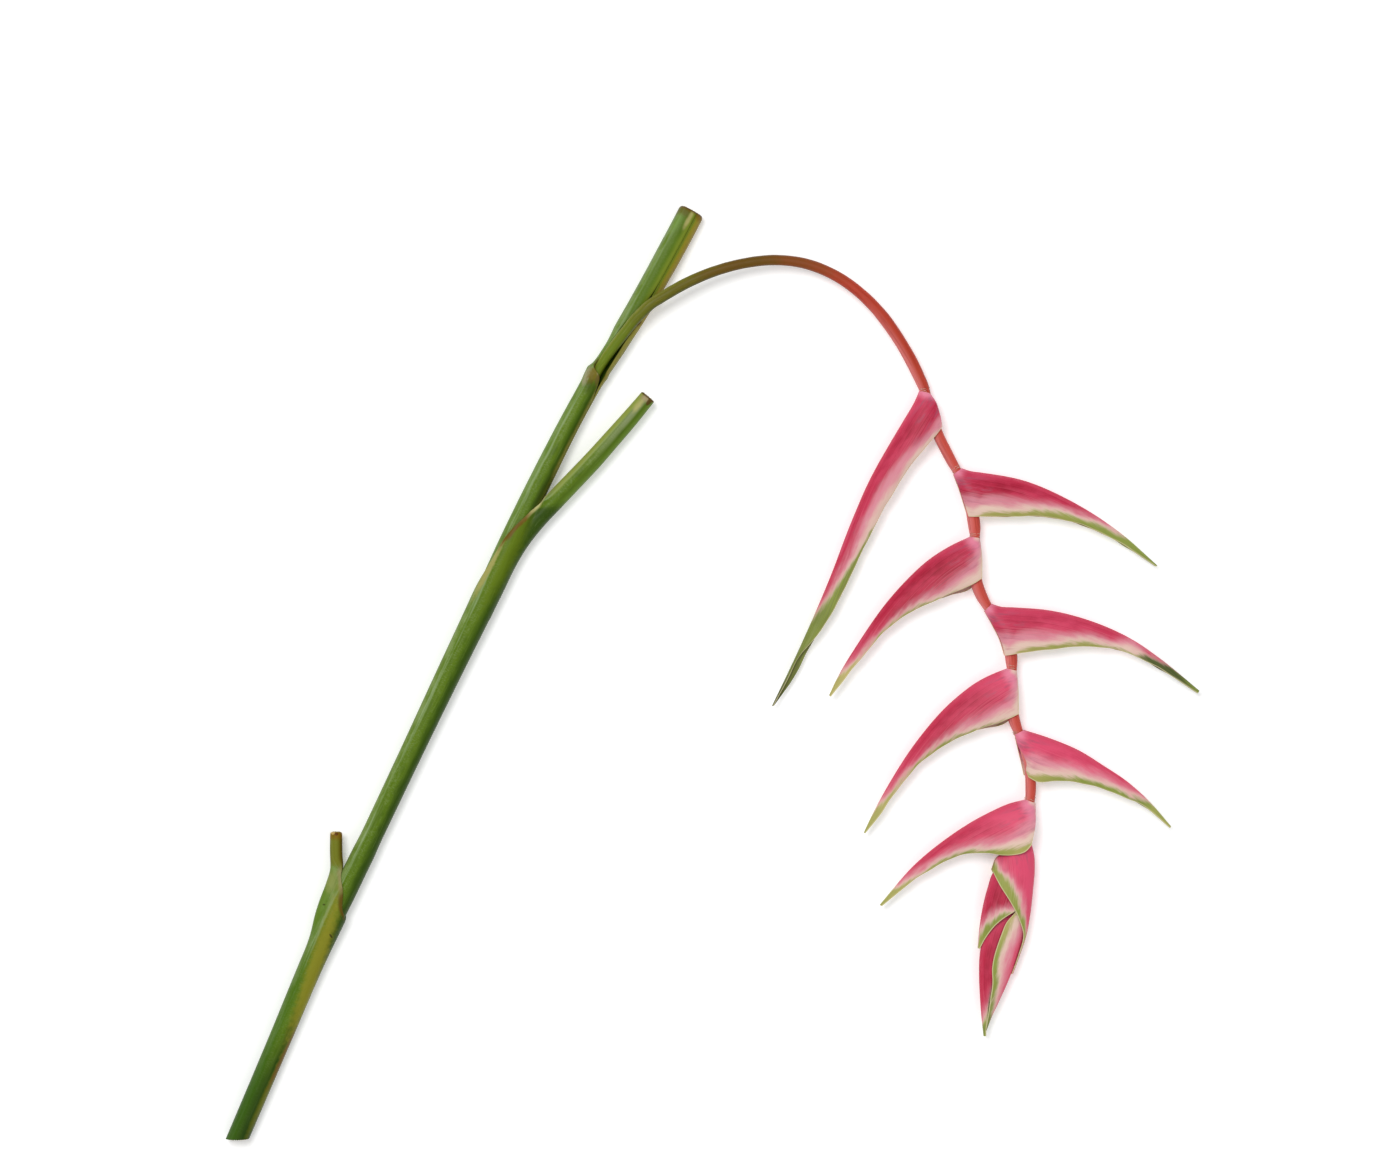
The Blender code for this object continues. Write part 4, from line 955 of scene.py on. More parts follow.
class Finish(Nodes):
    """A material: the shader, and what its colour, gloss and relief are mixed from."""

    def __init__(self, name, roughness=0.45, specular=0.5):
        self.material = bpy.data.materials.new(name)
        self.material.use_nodes = True
        super().__init__(self.material.node_tree)
        self.shader = self.tree.nodes["Principled BSDF"]
        self.set("Roughness", roughness)
        self.set("Specular IOR Level", specular)
        self.colour = None

    def set(self, socket, value):
        if isinstance(value, Field):
            self.tree.links.new(value.socket, self.shader.inputs[socket])
        else:
            self.shader.inputs[socket].default_value = value

    def mix(self, under, over, share):
        """One colour over another, where share is 1."""
        settings = {"data_type": "RGBA", "clamp_factor": True}
        return self.add("ShaderNodeMix", settings, {0: share, 6: under, 7: over}, output=2)

    def stain(self, colour, share):
        """Lays a colour over what the finish has so far."""
        colour = colour if isinstance(colour, Field) else shade(colour)
        self.colour = colour if self.colour is None else self.mix(self.colour, colour, share)

    def noise(self, vector, scale, detail=3.0, stretch=(1.0, 1.0, 1.0), roughness=0.5):
        """Noise between about 0.3 and 0.7, finer where scale is larger, per millimetre."""
        moved = self.add("ShaderNodeMapping", {"vector_type": "POINT"},
                         {"Vector": vector, "Scale": tuple(scale * part for part in stretch)})
        return self.add("ShaderNodeTexNoise", {"normalize": True},
                        {"Vector": moved, "Scale": 1.0, "Detail": detail, "Roughness": roughness})

    def spot(self, x, y, length, width, lean=0.0, ragged=0.5, soft=0.5):
        """A soft ellipse on the upper side of a stem. lean turns its length from +Y towards +X."""
        turned = self.add(
            "ShaderNodeMapping", {"vector_type": "TEXTURE"},
            {"Vector": self.place, "Location": (x, y, 0.0), "Rotation": (0.0, 0.0, -np.radians(lean)),
             "Scale": (width, length, 1e6)},
        )
        far = self.add("ShaderNodeVectorMath", {"operation": "LENGTH"}, {0: turned}, output="Value")
        return (far + (self.rough_edge - 0.5) * ragged).eased(1.0 + soft / 2, 1.0 - soft / 2) * self.above

    def spots(self, rows):
        """Lays spots one over another. Each has a colour, a share and what spot takes."""
        for colour, share, *where in rows:
            self.stain(colour, self.spot(*where) * share)

    def relief(self, height, strength, distance):
        inputs = {"Height": height, "Strength": strength, "Distance": distance * MM}
        self.set("Normal", self.add("ShaderNodeBump", None, inputs))

    def done(self):
        self.set("Base Color", self.colour)
        return self.material


def shade(colour, sheen=0.010):
    """A colour as seen, 0 to 255, as the shader wants it, less what the surface's own sheen adds to it."""
    colour = np.asarray(colour[:3], float) / 255.0
    linear = np.where(colour <= 0.04045, colour / 12.92, ((colour + 0.055) / 1.055) ** 2.4)
    return (*np.maximum(linear - sheen, 0.15 * linear), 1.0)


def once(make):
    """Makes a material the first time that it is asked for."""
    made = {}

    def give():
        if make not in made:
            made[make] = make()
        return made[make]

    return give


# ---- finishes


# Plain finishes with blotches: both colours, the noise's scale, where a blotch begins and is full, its share, and
# the surface's roughness and gloss.
BLOTCHED = {
    "scar_threads": ((226, 186, 168), (190, 110, 95), 400.0, (0.45, 0.6), 0.6, 0.7, 0.2),
    "cut_fibres": ((196, 180, 128), (110, 78, 40), 300.0, (0.48, 0.6), 0.8, 0.8, 0.2),
    "table_paper": ((250, 250, 250), (246, 246, 246), 30.0, (0.4, 0.6), 0.3, 0.9, 0.0),
}


def blotched(name):
    under, over, scale, edges, share, roughness, specular = BLOTCHED[name]
    skin = Finish(name, roughness, specular)
    skin.stain(under, 1.0)
    skin.stain(over, skin.noise(skin.object_place(), scale, 2.0).eased(*edges) * share)
    return skin


def linear_to_seen(colour):
    """A colour property, which Blender keeps linear, as a colour as seen."""
    linear = np.clip(np.asarray(colour[:3], float), 0, 1)
    return tuple(np.where(linear <= 0.0031308, linear * 12.92, 1.055 * linear ** (1 / 2.4) - 0.055) * 255)


def stem_finish(name):
    """What all green stem surfaces share: ribs along the grain, mottling and fine scratches, with painted
    highlights and sheen down the left side of the waxy, bloomed skin and painted shade down the right side.
    """
    skin = Finish(name, specular=0.13)
    sizes = bpy.context.scene.heliconia_stem
    in_mm = {0: skin.object_place(), "Scale": 1 / MM}
    skin.place = skin.add("ShaderNodeVectorMath", {"operation": "SCALE"}, in_mm)
    grain = skin.attribute("grain", "Vector")
    skin.rough_edge = skin.noise(skin.place, 0.35, 3.0)
    streaks = skin.streaks = skin.noise(grain, 0.55, 4.0, (1.0, 1.0, 0.03))
    fine = skin.noise(grain, 2.4, 2.0, (1.0, 1.0, 0.02))
    mottle = skin.mottle = skin.noise(grain, 0.16, 4.0, (1.0, 1.0, 0.4), 0.6)
    turn = skin.turn = skin.attribute("turn")
    skin.above = turn.eased(-112.0, -80.0) * turn.eased(112.0, 80.0)
    skin.end = skin.attribute("end")
    skin.lip = skin.attribute("lip")
    skin.inside = skin.attribute("inside")
    skin.stain(linear_to_seen(sizes.green), 1.0)
    skin.stain(linear_to_seen(sizes.light_green), streaks.eased(0.42, 0.66) * 0.3)
    skin.stain(linear_to_seen(sizes.dark_green), (1 - mottle).eased(0.48, 0.7) * 0.5)
    pebble = skin.noise(grain, 0.8, 3.0, (0.7, 0.7, 1.6), 0.6)
    # Painted highlight: the left side, which faces the light, is stained a lighter green.
    skin.stain((116, 144, 58), (turn + (mottle - 0.5) * 60.0).eased(-12.0, -50.0) * 0.5)
    # Painted sheen: a pale grey-green band down the lit left side of the waxy, bloomed skin.
    bloom_and_sheen = turn.eased(-78.0, -58.0) * turn.eased(-22.0, -46.0)
    skin.stain((152, 172, 112), bloom_and_sheen * mottle.eased(0.4, 0.6) * 0.4)
    # Painted sheen: pale specks on the pebbled skin, on the lit upper left side only.
    pebble_sheen = pebble.eased(0.46, 0.66) * mottle.eased(0.3, 0.55)
    skin.stain((144, 164, 104), pebble_sheen * turn.eased(-80.0, -35.0) * turn.eased(30.0, -10.0) * 0.3)
    # Painted shade: the right side, turned away from the light, is stained dark green.
    skin.stain((48, 72, 6), (turn + (mottle - 0.5) * 50.0).eased(2.0, 44.0) * 0.85)
    skin.stain((150, 175, 105), fine.eased(0.58, 0.75) * 0.15)
    # Painted highlight: a narrow pale gleam along the grain on the left side.
    wander = turn + (mottle - 0.5) * 16.0
    line = wander.eased(-44.0, -34.0) * wander.eased(-18.0, -28.0)
    skin.stain((164, 186, 140), line * streaks.eased(0.34, 0.6) * 0.5)
    skin.relief(fine * 0.4 + streaks * 0.6 + pebble * 0.5, 0.5, sizes.rib_depth)
    skin.set("Roughness", 0.30 + mottle * 0.25)
    return skin


def dry_end(skin, reach, colour):
    """Brown where a cut has dried: a dark rim, then a stain that fades down the petiole."""
    ragged = skin.end + (skin.streaks - 0.5) * reach
    skin.stain(colour, ragged.eased(reach, reach * 0.3) * 0.7)
    skin.stain((84, 60, 24), skin.end.eased(1.1, 0.4) * 0.85)


@once
def lower_leaf_skin():
    """Darkest at the foot, dried brown along its mouth and over its short stub."""
    skin = stem_finish("lower_leaf_skin")
    ragged = (skin.mottle - 0.5) * 8.0
    end = skin.end + ragged
    skin.stain((36, 62, 8), end.eased(125.0, 180.0) * 0.75)
    skin.stain((66, 106, 26), end.eased(55.0, 120.0) * skin.turn.eased(20.0, -30.0) * 0.6)
    skin.spots((
        ((142, 138, 44), 0.85, -245.8, -182.0, 52.0, 4.2, 18.6, 0.9, 1.2),
        ((116, 118, 32), 0.7, -273.5, -255.0, 34.0, 1.8, 25.0, 0.6, 1.3),
        ((112, 78, 26), 0.75, -266.4, -238.5, 20.0, 1.1, 25.5, 0.6, 1.0),
        ((96, 130, 44), 0.5, -243.0, -146.0, 22.0, 3.4, 20.0, 0.6, 1.2),
        ((152, 158, 92), 0.7, -236.0, -129.0, 6.0, 3.4, 8.0, 0.9, 1.4),
    ))
    dried = skin.lip.eased(4.4, 1.4) * skin.spot(-231.0, -127.0, 11.0, 5.0, 0.0, 1.0, 1.2)
    skin.stain((150, 142, 94), dried * 0.85)
    dried = (skin.lip + ragged * 0.1).eased(4.2, 1.6) * skin.spot(-228.5, -143.0, 9.0, 4.5, 12.0, 0.8, 0.8)
    skin.stain((100, 76, 16), dried * 0.9)
    skin.spots((
        ((60, 50, 16), 0.7, -240.5, -143.3, 0.55, 0.8, 0.0, 0.9),
        ((52, 44, 14), 0.8, -236.0, -162.5, 0.55, 1.5, 60.0, 0.9),
    ))
    stub = end.eased(27.0, 19.0)
    skin.stain((124, 122, 40), stub * 0.75)
    skin.stain((98, 74, 28), stub * skin.turn.eased(12.0, 70.0) * 0.8)
    skin.stain((88, 100, 30), stub * skin.turn.eased(-35.0, -75.0) * 0.5)
    skin.stain((134, 96, 22), (skin.end + ragged * 0.3).eased(6.0, 2.5) * 0.7)
    skin.spots((
        ((204, 174, 108), 0.85, -235.2, -98.7, 1.2, 1.5, 0.0, 0.9),
        ((96, 50, 18), 0.85, -232.9, -99.6, 0.9, 1.2, 0.0, 0.9),
    ))
    skin.stain((72, 74, 30), skin.inside * 0.6)
    return skin.done()


@once
def middle_leaf_skin():
    """A pale, bloomed petiole that is dried at its mouth and along its cut, with painted highlights along its
    left side.
    """
    skin = stem_finish("middle_leaf_skin")
    mottle = skin.mottle - 0.5
    skin.spots((
        ((104, 124, 26), 0.6, -126.5, 72.0, 30.0, 4.4, 26.0, 0.7, 1.4),
        ((112, 140, 92), 0.5, -117.0, 60.0, 26.0, 1.6, 26.0, 0.5, 1.4),
        # Painted highlight: a pale yellowish streak along the sheath's left edge.
        ((176, 166, 96), 0.75, -138.0, 66.0, 20.0, 1.9, 27.0, 0.7, 1.0),
    ))
    # The petiole's yellow-green left lip, widened and lightened as a painted highlight down its lit left side.
    petiole = (skin.end + mottle * 20.0).eased(94.0, 78.0)
    left = (skin.turn + (skin.streaks - 0.5) * 26.0).eased(-12.0, -42.0)
    skin.stain((156, 168, 82), petiole * left * 0.85)
    top = skin.turn.eased(-32.0, -12.0) * skin.turn.eased(26.0, 4.0)
    skin.stain((140, 150, 108), petiole * top * (skin.end + mottle * 30.0).eased(64.0, 14.0) * 0.7)
    skin.stain((106, 136, 46), petiole * skin.turn.eased(12.0, 50.0) * 0.8)
    dried = skin.lip.eased(2.8, 0.8) * skin.spot(-108.5, 103.5, 13.0, 6.0, 45.0, 0.8, 1.0)
    skin.stain((200, 194, 134), dried * 0.9)
    dried = (skin.lip + mottle * 6.0).eased(3.0, 1.2) * skin.spot(-123.5, 90.0, 15.0, 10.0, 42.0, 0.8, 0.8)
    skin.stain((112, 82, 18), dried * 0.9)
    skin.stain((182, 176, 104), skin.spot(-45.8, 166.0, 5.0, 1.7, 40.0, 0.9, 1.2) * 0.75)
    dried = skin.end.eased(5.0, 2.0) * skin.spot(-42.0, 169.5, 3.0, 3.0, 40.0, 0.9, 1.2)
    skin.stain((168, 148, 112), dried * 0.8)
    skin.stain((84, 58, 18), skin.spot(-38.9, 168.3, 3.0, 1.3, 40.0, 0.9) * 0.85)
    dry_end(skin, 1.8, (104, 80, 40))
    skin.stain((82, 90, 38), skin.inside * 0.5)
    return skin.done()


@once
def upper_leaf_skin():
    """Yellowed along its slit, with bands of olive and tan along its petiole, a painted sheen down its left side
    and painted shade where the middle petiole leaves the stem.
    """
    skin = stem_finish("upper_leaf_skin")
    turn = skin.turn
    ragged = (skin.mottle - 0.5) * 24.0
    skin.stain((104, 138, 60), skin.spot(-108.0, 129.0, 52.0, 1.3, 26.0, 0.6, 1.4) * 0.4)
    slit = (turn + ragged).eased(34.0, 62.0) * turn.eased(130.0, 105.0)
    skin.stain((146, 140, 66), slit * (skin.end + ragged).eased(235.0, 195.0) * 0.8)
    # Painted shade: a dark green patch on the sheath where the middle petiole leaves the stem.
    skin.stain((58, 72, 16), skin.spot(-104.6, 112.0, 12.0, 2.4, 29.0, 0.6, 1.2) * 0.75)
    band = (skin.end + ragged).eased(96.0, 70.0)
    skin.stain((88, 114, 34), band * turn.eased(-45.0, -25.0) * 0.6)
    skin.stain((126, 142, 48), band * (turn + ragged * 0.4).eased(-4.0, 22.0) * 0.85)
    skin.stain((150, 134, 42), band * (turn + ragged * 0.4).eased(36.0, 52.0) * 0.85)
    skin.stain((142, 116, 36), band * (turn + ragged * 0.3).eased(64.0, 78.0) * 0.6)
    # Painted sheen: a pale grey-green band down the petiole's lit left side.
    skin.stain((126, 146, 98), band * turn.eased(-40.0, -62.0) * 0.6)
    skin.stain((92, 104, 28), skin.lip.eased(1.6, 0.3) * band * 0.5)
    skin.spots((
        ((184, 174, 112), 0.75, -14.4, 281.5, 7.0, 1.2, 29.0, 0.7, 1.2),
        ((118, 152, 70), 0.6, -22.0, 279.0, 6.0, 1.8, 29.0, 0.7, 1.4),
        ((162, 158, 122), 0.85, -78.0, 183.6, 6.0, 1.9, 24.0, 1.4, 0.9),
        ((120, 102, 34), 0.85, -73.9, 184.6, 6.0, 2.9, 24.0, 1.6, 0.8),
        ((112, 92, 50), 0.8, -70.6, 183.0, 4.0, 1.6, 24.0, 1.4, 0.9),
        ((152, 146, 98), 0.8, -70.2, 187.0, 2.6, 1.1, 24.0, 0.9, 0.8),
    ))
    skin.stain((86, 72, 28), skin.lip.eased(1.2, 0.4) * skin.spot(-73.0, 187.0, 8.0, 9.0, 0.0, 0.9) * 0.8)
    skin.stain((60, 76, 16), skin.spot(-76.2, 177.2, 4.5, 2.8, 24.0, 1.4, 1.7) * 0.55)
    edge = skin.lip.eased(3.4, 1.4) * turn.eased(20.0, 45.0)
    skin.stain((150, 140, 66), edge * skin.spot(-54.0, 204.0, 27.0, 8.0, 33.0, 0.9, 1.2) * 0.6)
    skin.stain((92, 56, 28), skin.spot(-45.5, 217.0, 2.2, 1.2, 33.0, 0.9, 1.0) * 0.7)
    skin.stain((96, 128, 38), skin.inside * skin.end.eased(35.0, 60.0) * 0.85)
    skin.stain((100, 88, 34), (skin.end + ragged * 0.3).eased(8.5, 3.5) * turn.eased(8.0, -12.0) * 0.7)
    skin.stain((122, 90, 30), (skin.end + ragged * 0.2).eased(5.0, 2.0) * turn.eased(26.0, 40.0) * 0.7)
    dry_end(skin, 2.4, (112, 84, 36))
    return skin.done()


@once
def cut_tissue():
    """The pale, spongy inside of a cut leaf base, browned at its skin."""
    skin = Finish("cut_tissue", roughness=0.8, specular=0.25)
    position = skin.object_place()
    cells = skin.add(
        "ShaderNodeTexVoronoi", {"feature": "DISTANCE_TO_EDGE"}, {"Vector": position, "Scale": 1100.0},
        output="Distance",
    )
    blotch = skin.noise(position, 260.0, 3.0)
    skin.stain((172, 158, 108), 1.0)
    skin.stain((120, 92, 48), blotch.eased(0.45, 0.62) * 0.8)
    skin.stain((95, 78, 45), cells.eased(0.16, 0.04) * 0.8)
    skin.relief(cells.eased(0.0, 0.25), 0.8, 0.2)
    return skin.done()


@once
def stalk_skin():
    """Olive where it leaves the stem, brown over the arch, then coral red down to the bud, with painted
    highlights and painted shade on its sides.
    """
    skin = Finish("stalk_skin", specular=0.22)
    grain = skin.attribute("grain", "Vector")
    run = skin.attribute("run")
    turn = skin.attribute("turn")
    streaks = skin.noise(grain, 0.9, 3.0, (1.0, 1.0, 0.04))
    fine = skin.noise(grain, 3.0, 2.0, (1.0, 1.0, 0.05))
    mottle = skin.noise(grain, 0.22, 4.0, (1.0, 1.0, 0.5), 0.6)
    ragged = run + (mottle - 0.5) * 26.0
    skin.stain((106, 126, 30), 1.0)
    for colour, start, full in (
        ((102, 100, 28), 25.0, 75.0), ((106, 78, 24), 72.0, 125.0), ((140, 74, 38), 132.0, 172.0),
        ((184, 68, 50), 166.0, 206.0), ((204, 84, 72), 260.0, 320.0),
    ):
        skin.stain(colour, ragged.eased(start, full))
    # Painted highlight: pale pink down the right side of the coral red rachis.
    skin.stain((236, 140, 138), turn.eased(-10.0, 50.0) * ragged.eased(190.0, 260.0) * 0.65)
    # Painted highlight: pale yellow-green down the left side, where the stalk leaves the stem.
    skin.stain((146, 150, 70), turn.eased(-15.0, -60.0) * ragged.eased(130.0, 80.0) * 0.4)
    skin.stain((144, 44, 36), (1 - streaks).eased(0.5, 0.68) * ragged.eased(150.0, 200.0) * 0.4)
    # Painted shade: dark olive down the right side, where the stalk lies in the petiole's channel.
    skin.stain((66, 74, 20), turn.eased(20.0, 75.0) * ragged.eased(140.0, 90.0) * 0.6)
    skin.stain((190, 180, 90), fine.eased(0.58, 0.72) * ragged.eased(120.0, 60.0) * 0.25)
    skin.relief(fine * 0.4 + streaks, 0.5, 0.12)
    skin.set("Roughness", 0.36 + mottle * 0.2)
    return skin.done()


# Colours of a bract. keel and glow are painted highlights along the keel, and mauve_shade is painted shade at the
# base.
BRACT_COLOURS = {
    "crimson": (184, 38, 64), "pink": (230, 86, 118), "keel": (212, 66, 92), "deep": (140, 22, 46),
    "mauve_shade": (160, 92, 112), "pale": (230, 160, 172), "glow": (226, 104, 132), "white": (236, 212, 192),
    "blush": (242, 146, 172), "green": (140, 156, 64), "tan": (196, 182, 112), "dark_green": (64, 82, 8),
    "cream": (228, 216, 172),
}
# The paler lining's colours; its keel colour is a painted highlight, as on the outer face.
LINING_COLOURS = {
    **BRACT_COLOURS, "crimson": (205, 90, 105), "pink": (232, 130, 145), "keel": (220, 120, 130),
    "deep": (180, 80, 90), "dark_green": (70, 80, 30),
}


def bract_colours(skin, colours):
    """Green rim, pale band and red flank, laid out by the distances that each bract's mesh carries, with painted
    highlights along the keel and painted shade at the base.
    """
    grain = skin.attribute("grain", "Vector")
    margin, keel, along = map(skin.attribute, ("margin", "keel", "along"))
    green, pale, tan = map(skin.attribute, ("green", "pale", "tan"))
    veins = skin.veins = skin.noise(grain, 1.5, 2.0, (1.0, 1.0, 0.012))
    wide = skin.noise(grain, 0.34, 4.0, (1.0, 1.0, 0.14), 0.6)
    cloud = skin.cloud = skin.noise(grain, 0.075, 4.0, (1.0, 1.0, 0.5), 0.6)
    patch = skin.noise(grain, 0.16, 3.0, (1.0, 1.0, 0.35), 0.65)
    edge = margin + (wide - 0.5) * 5.0 + (veins - 0.5) * 3.0 + (patch - 0.5) * 7.0
    pink = (skin.attribute("pink") + (cloud - 0.5) * 1.3 + (veins - 0.5) * 0.25 + 0.1).capped()
    skin.stain(skin.mix(shade(colours["crimson"]), shade(colours["pink"]), pink), 1.0)
    # Painted highlight: a lighter band along the rounded keel.
    skin.stain(colours["keel"], keel.eased(6.5, 0.5) * (0.35 + pink * 0.3))
    skin.stain(colours["deep"], (1 - patch).eased(0.44, 0.74) * keel.eased(2.0, 7.0) * (1 - pink) * 0.6)
    skin.stain(colours["deep"], (1 - veins).eased(0.52, 0.64) * keel.eased(2.5, 6.0) * (1 - pink) * 0.55)
    # Painted highlight: a narrow sheen band just off the keel.
    skin.stain(colours["glow"], keel.eased(4.2, 2.2) * keel.eased(0.6, 2.0) * wide.eased(0.4, 0.6) * 0.4)
    # Painted shade: mauve-grey at the base, away from the keel.
    near_base = patch.eased(0.44, 0.62) * along.eased(0.34, 0.0)
    skin.stain(colours["mauve_shade"], near_base * keel.eased(3.0, 10.0) * 0.75)
    clasp = skin.attribute("clasp") + (patch - 0.5) * 9.0
    skin.stain(colours["blush"], clasp.eased(5.0, -3.0) * 0.85)
    skin.stain(colours["white"], clasp.eased(-3.5, -8.5) * 0.8)
    inside = green + pale - edge
    skin.stain(colours["pale"], (inside / 8.0 + 0.45).eased(0.0, 1.0) * 0.75)
    skin.stain(colours["pale"], veins.eased(0.54, 0.68) * (inside / 14.0 + 0.75).eased(0.0, 1.0) * 0.3)
    skin.stain(colours["white"], ((green + pale * 0.5 - edge) / 6.0 + 0.4).eased(0.0, 1.0) * 0.85)
    # Painted shade: mauve-grey in the pale band near the base.
    near_base = wide.eased(0.5, 0.66) * along.eased(0.26, 0.04)
    skin.stain(colours["mauve_shade"], near_base * (inside / 7.0 + 0.6).eased(0.0, 1.0) * edge.eased(3.0, 8.0) * 0.55)
    dried = (tan + (patch - 0.5) * 0.9).capped()
    fresh = (tan * -1.0 + (cloud - 0.45) + (veins - 0.5) * 1.4).capped()
    leaf = skin.mix(shade(colours["green"]), shade(colours["tan"]), dried)
    leaf = skin.mix(leaf, shade(colours["dark_green"]), fresh)
    leaf_share = ((green - edge) / (green * 0.25 + 3.2) + 0.5).eased(0.0, 1.0)
    skin.stain(leaf, leaf_share * 0.95)
    skin.stain((200, 200, 140), veins.eased(0.56, 0.7) * leaf_share * 0.3)
    return margin


@once
def bract_skin():
    skin = Finish("bract_skin", specular=0.18)
    margin = bract_colours(skin, BRACT_COLOURS)
    skin.stain(BRACT_COLOURS["cream"], skin.attribute("rim").eased(0.8, 0.3) * margin.eased(6.0, 2.0) * 0.7)
    skin.relief(skin.veins + skin.cloud * 0.5, 0.5, 0.14)
    skin.set("Roughness", 0.38 + skin.cloud * 0.2)
    return skin.done()


@once
def bract_lining():
    """The paler inner face."""
    skin = Finish("bract_lining", specular=0.15)
    bract_colours(skin, LINING_COLOURS)
    skin.relief(skin.veins, 0.4, 0.12)
    return skin.done()


@once
def bract_rim():
    skin = Finish("bract_rim", roughness=0.5, specular=0.3)
    grain = skin.attribute("grain", "Vector")
    skin.stain(BRACT_COLOURS["cream"], 1.0)
    skin.stain((170, 120, 70), skin.noise(grain, 0.2, 3.0).eased(0.5, 0.65) * 0.6)
    return skin.done()


# ---- geometry nodes


def node_tree(name, sockets):
    """A geometry tree with named inputs, and the fields that read them."""
    tree = bpy.data.node_groups.new(name, "GeometryNodeTree")
    tree.interface.new_socket("Geometry", in_out="OUTPUT", socket_type="NodeSocketGeometry")
    tree.interface.new_socket("Geometry", in_out="INPUT", socket_type="NodeSocketGeometry")
    for label, kind in sockets.items():
        tree.interface.new_socket(label, in_out="INPUT", socket_type=kind)
    nodes = Nodes(tree)
    group = tree.nodes.new("NodeGroupInput")
    return nodes, {socket.name: Field(nodes, socket) for socket in group.outputs if socket.name}


def close_tree(nodes, geometry, material):
    """Every tree ends in Realize Instances and Set Material."""
    real = nodes.add("GeometryNodeRealizeInstances", None, {"Geometry": geometry})
    painted = nodes.add("GeometryNodeSetMaterial", None, {"Geometry": real, "Material": material})
    end = nodes.tree.nodes.new("NodeGroupOutput")
    nodes.tree.links.new(painted.socket, end.inputs["Geometry"])


def grown(name, mesh, nodes, values):
    """The plain mesh that a geometry tree makes of another, with its inputs set by their identifiers."""
    piece = show_mesh(name, mesh)
    modifier = piece.modifiers.new(name, "NODES")
    modifier.node_group = nodes.tree
    sockets = {item.name: item.identifier for item in nodes.tree.interface.items_tree
               if item.item_type == "SOCKET" and item.in_out == "INPUT"}
    for label, value in values.items():
        modifier[sockets[label]] = value
    return finished(piece)


def tube_round(nodes, curve, sides, radius, scale):
    """A closed tube along a curve, as thick at each point as its scale."""
    ring = nodes.add("GeometryNodeCurvePrimitiveCircle", None, {"Resolution": sides, "Radius": radius})
    return nodes.add("GeometryNodeCurveToMesh", None, {
        "Curve": curve, "Profile Curve": ring, "Scale": scale, "Fill Caps": True,
    })


def stalk_tree():
    """A tube along a line, as thick at each point as its size says."""
    nodes, given = node_tree("Flower stalk", {
        "Sides": "NodeSocketInt", "Unevenness": "NodeSocketFloat", "Material": "NodeSocketMaterial",
    })
    line = nodes.add("GeometryNodeMeshToCurve", None, {"Mesh": given["Geometry"]})
    size = nodes.add("GeometryNodeInputNamedAttribute", {"data_type": "FLOAT"}, {"Name": "size"})
    place = nodes.add("GeometryNodeInputPosition")
    wander = nodes.add("ShaderNodeTexNoise", None, {"Vector": place, "Scale": 90.0, "Detail": 1.0})
    uneven = 1.0 + (wander - 0.5) * given["Unevenness"]
    close_tree(nodes, tube_round(nodes, line, given["Sides"], 1.0, size * uneven), given["Material"])
    return nodes


def thread_tree():
    """Thin threads along short lines, each wandering a little."""
    nodes, given = node_tree("Scar threads", {
        "Thickness": "NodeSocketFloat", "Wander": "NodeSocketFloat", "Seed": "NodeSocketFloat",
        "Material": "NodeSocketMaterial",
    })
    line = nodes.add("GeometryNodeMeshToCurve", None, {"Mesh": given["Geometry"]})
    place = nodes.add("GeometryNodeInputPosition")
    drift = nodes.add("ShaderNodeTexNoise", {"noise_dimensions": "4D"},
                      {"Vector": place, "W": given["Seed"], "Scale": 700.0, "Detail": 1.0}, output="Color")
    centred = nodes.add("ShaderNodeVectorMath", {"operation": "SUBTRACT"}, {0: drift, 1: (0.5, 0.5, 0.5)})
    offset = nodes.add("ShaderNodeVectorMath", {"operation": "SCALE"}, {0: centred, "Scale": given["Wander"]})
    moved = nodes.add("GeometryNodeSetPosition", None, {"Geometry": line, "Offset": offset})
    factor = nodes.add("GeometryNodeSplineParameter")
    thickness = 0.35 + (1.0 - factor) * factor * 4.0 * 0.65
    close_tree(nodes, tube_round(nodes, moved, THREAD_SIDES, given["Thickness"], thickness), given["Material"])
    return nodes


def fibre_tree():
    """Blunt ends of the bundles that a cut goes through, scattered over it."""
    nodes, given = node_tree("Cut fibres", {
        "Spacing": "NodeSocketFloat", "Size": "NodeSocketFloat", "Seed": "NodeSocketInt",
        "Material": "NodeSocketMaterial",
    })
    scatter = nodes.add("GeometryNodeDistributePointsOnFaces", {"distribute_method": "POISSON"}, {
        "Mesh": given["Geometry"], "Distance Min": given["Spacing"], "Density Max": 2.5e6,
        "Density Factor": 1.0, "Seed": given["Seed"],
    })
    turned = Field(nodes, scatter.socket.node.outputs["Rotation"])
    stub = nodes.add("GeometryNodeMeshCone", None, {
        "Vertices": 7, "Radius Top": 0.55, "Radius Bottom": 1.0, "Depth": 1.6,
    })
    size = nodes.add("FunctionNodeRandomValue", {"data_type": "FLOAT"},
                     {2: 0.6, 3: 1.25, "Seed": given["Seed"]}, output=1)
    placed_stubs = nodes.add("GeometryNodeInstanceOnPoints", None, {
        "Points": scatter, "Instance": stub, "Rotation": turned, "Scale": size * given["Size"],
    })
    close_tree(nodes, placed_stubs, given["Material"])
    return nodes


# ---- settings and operators


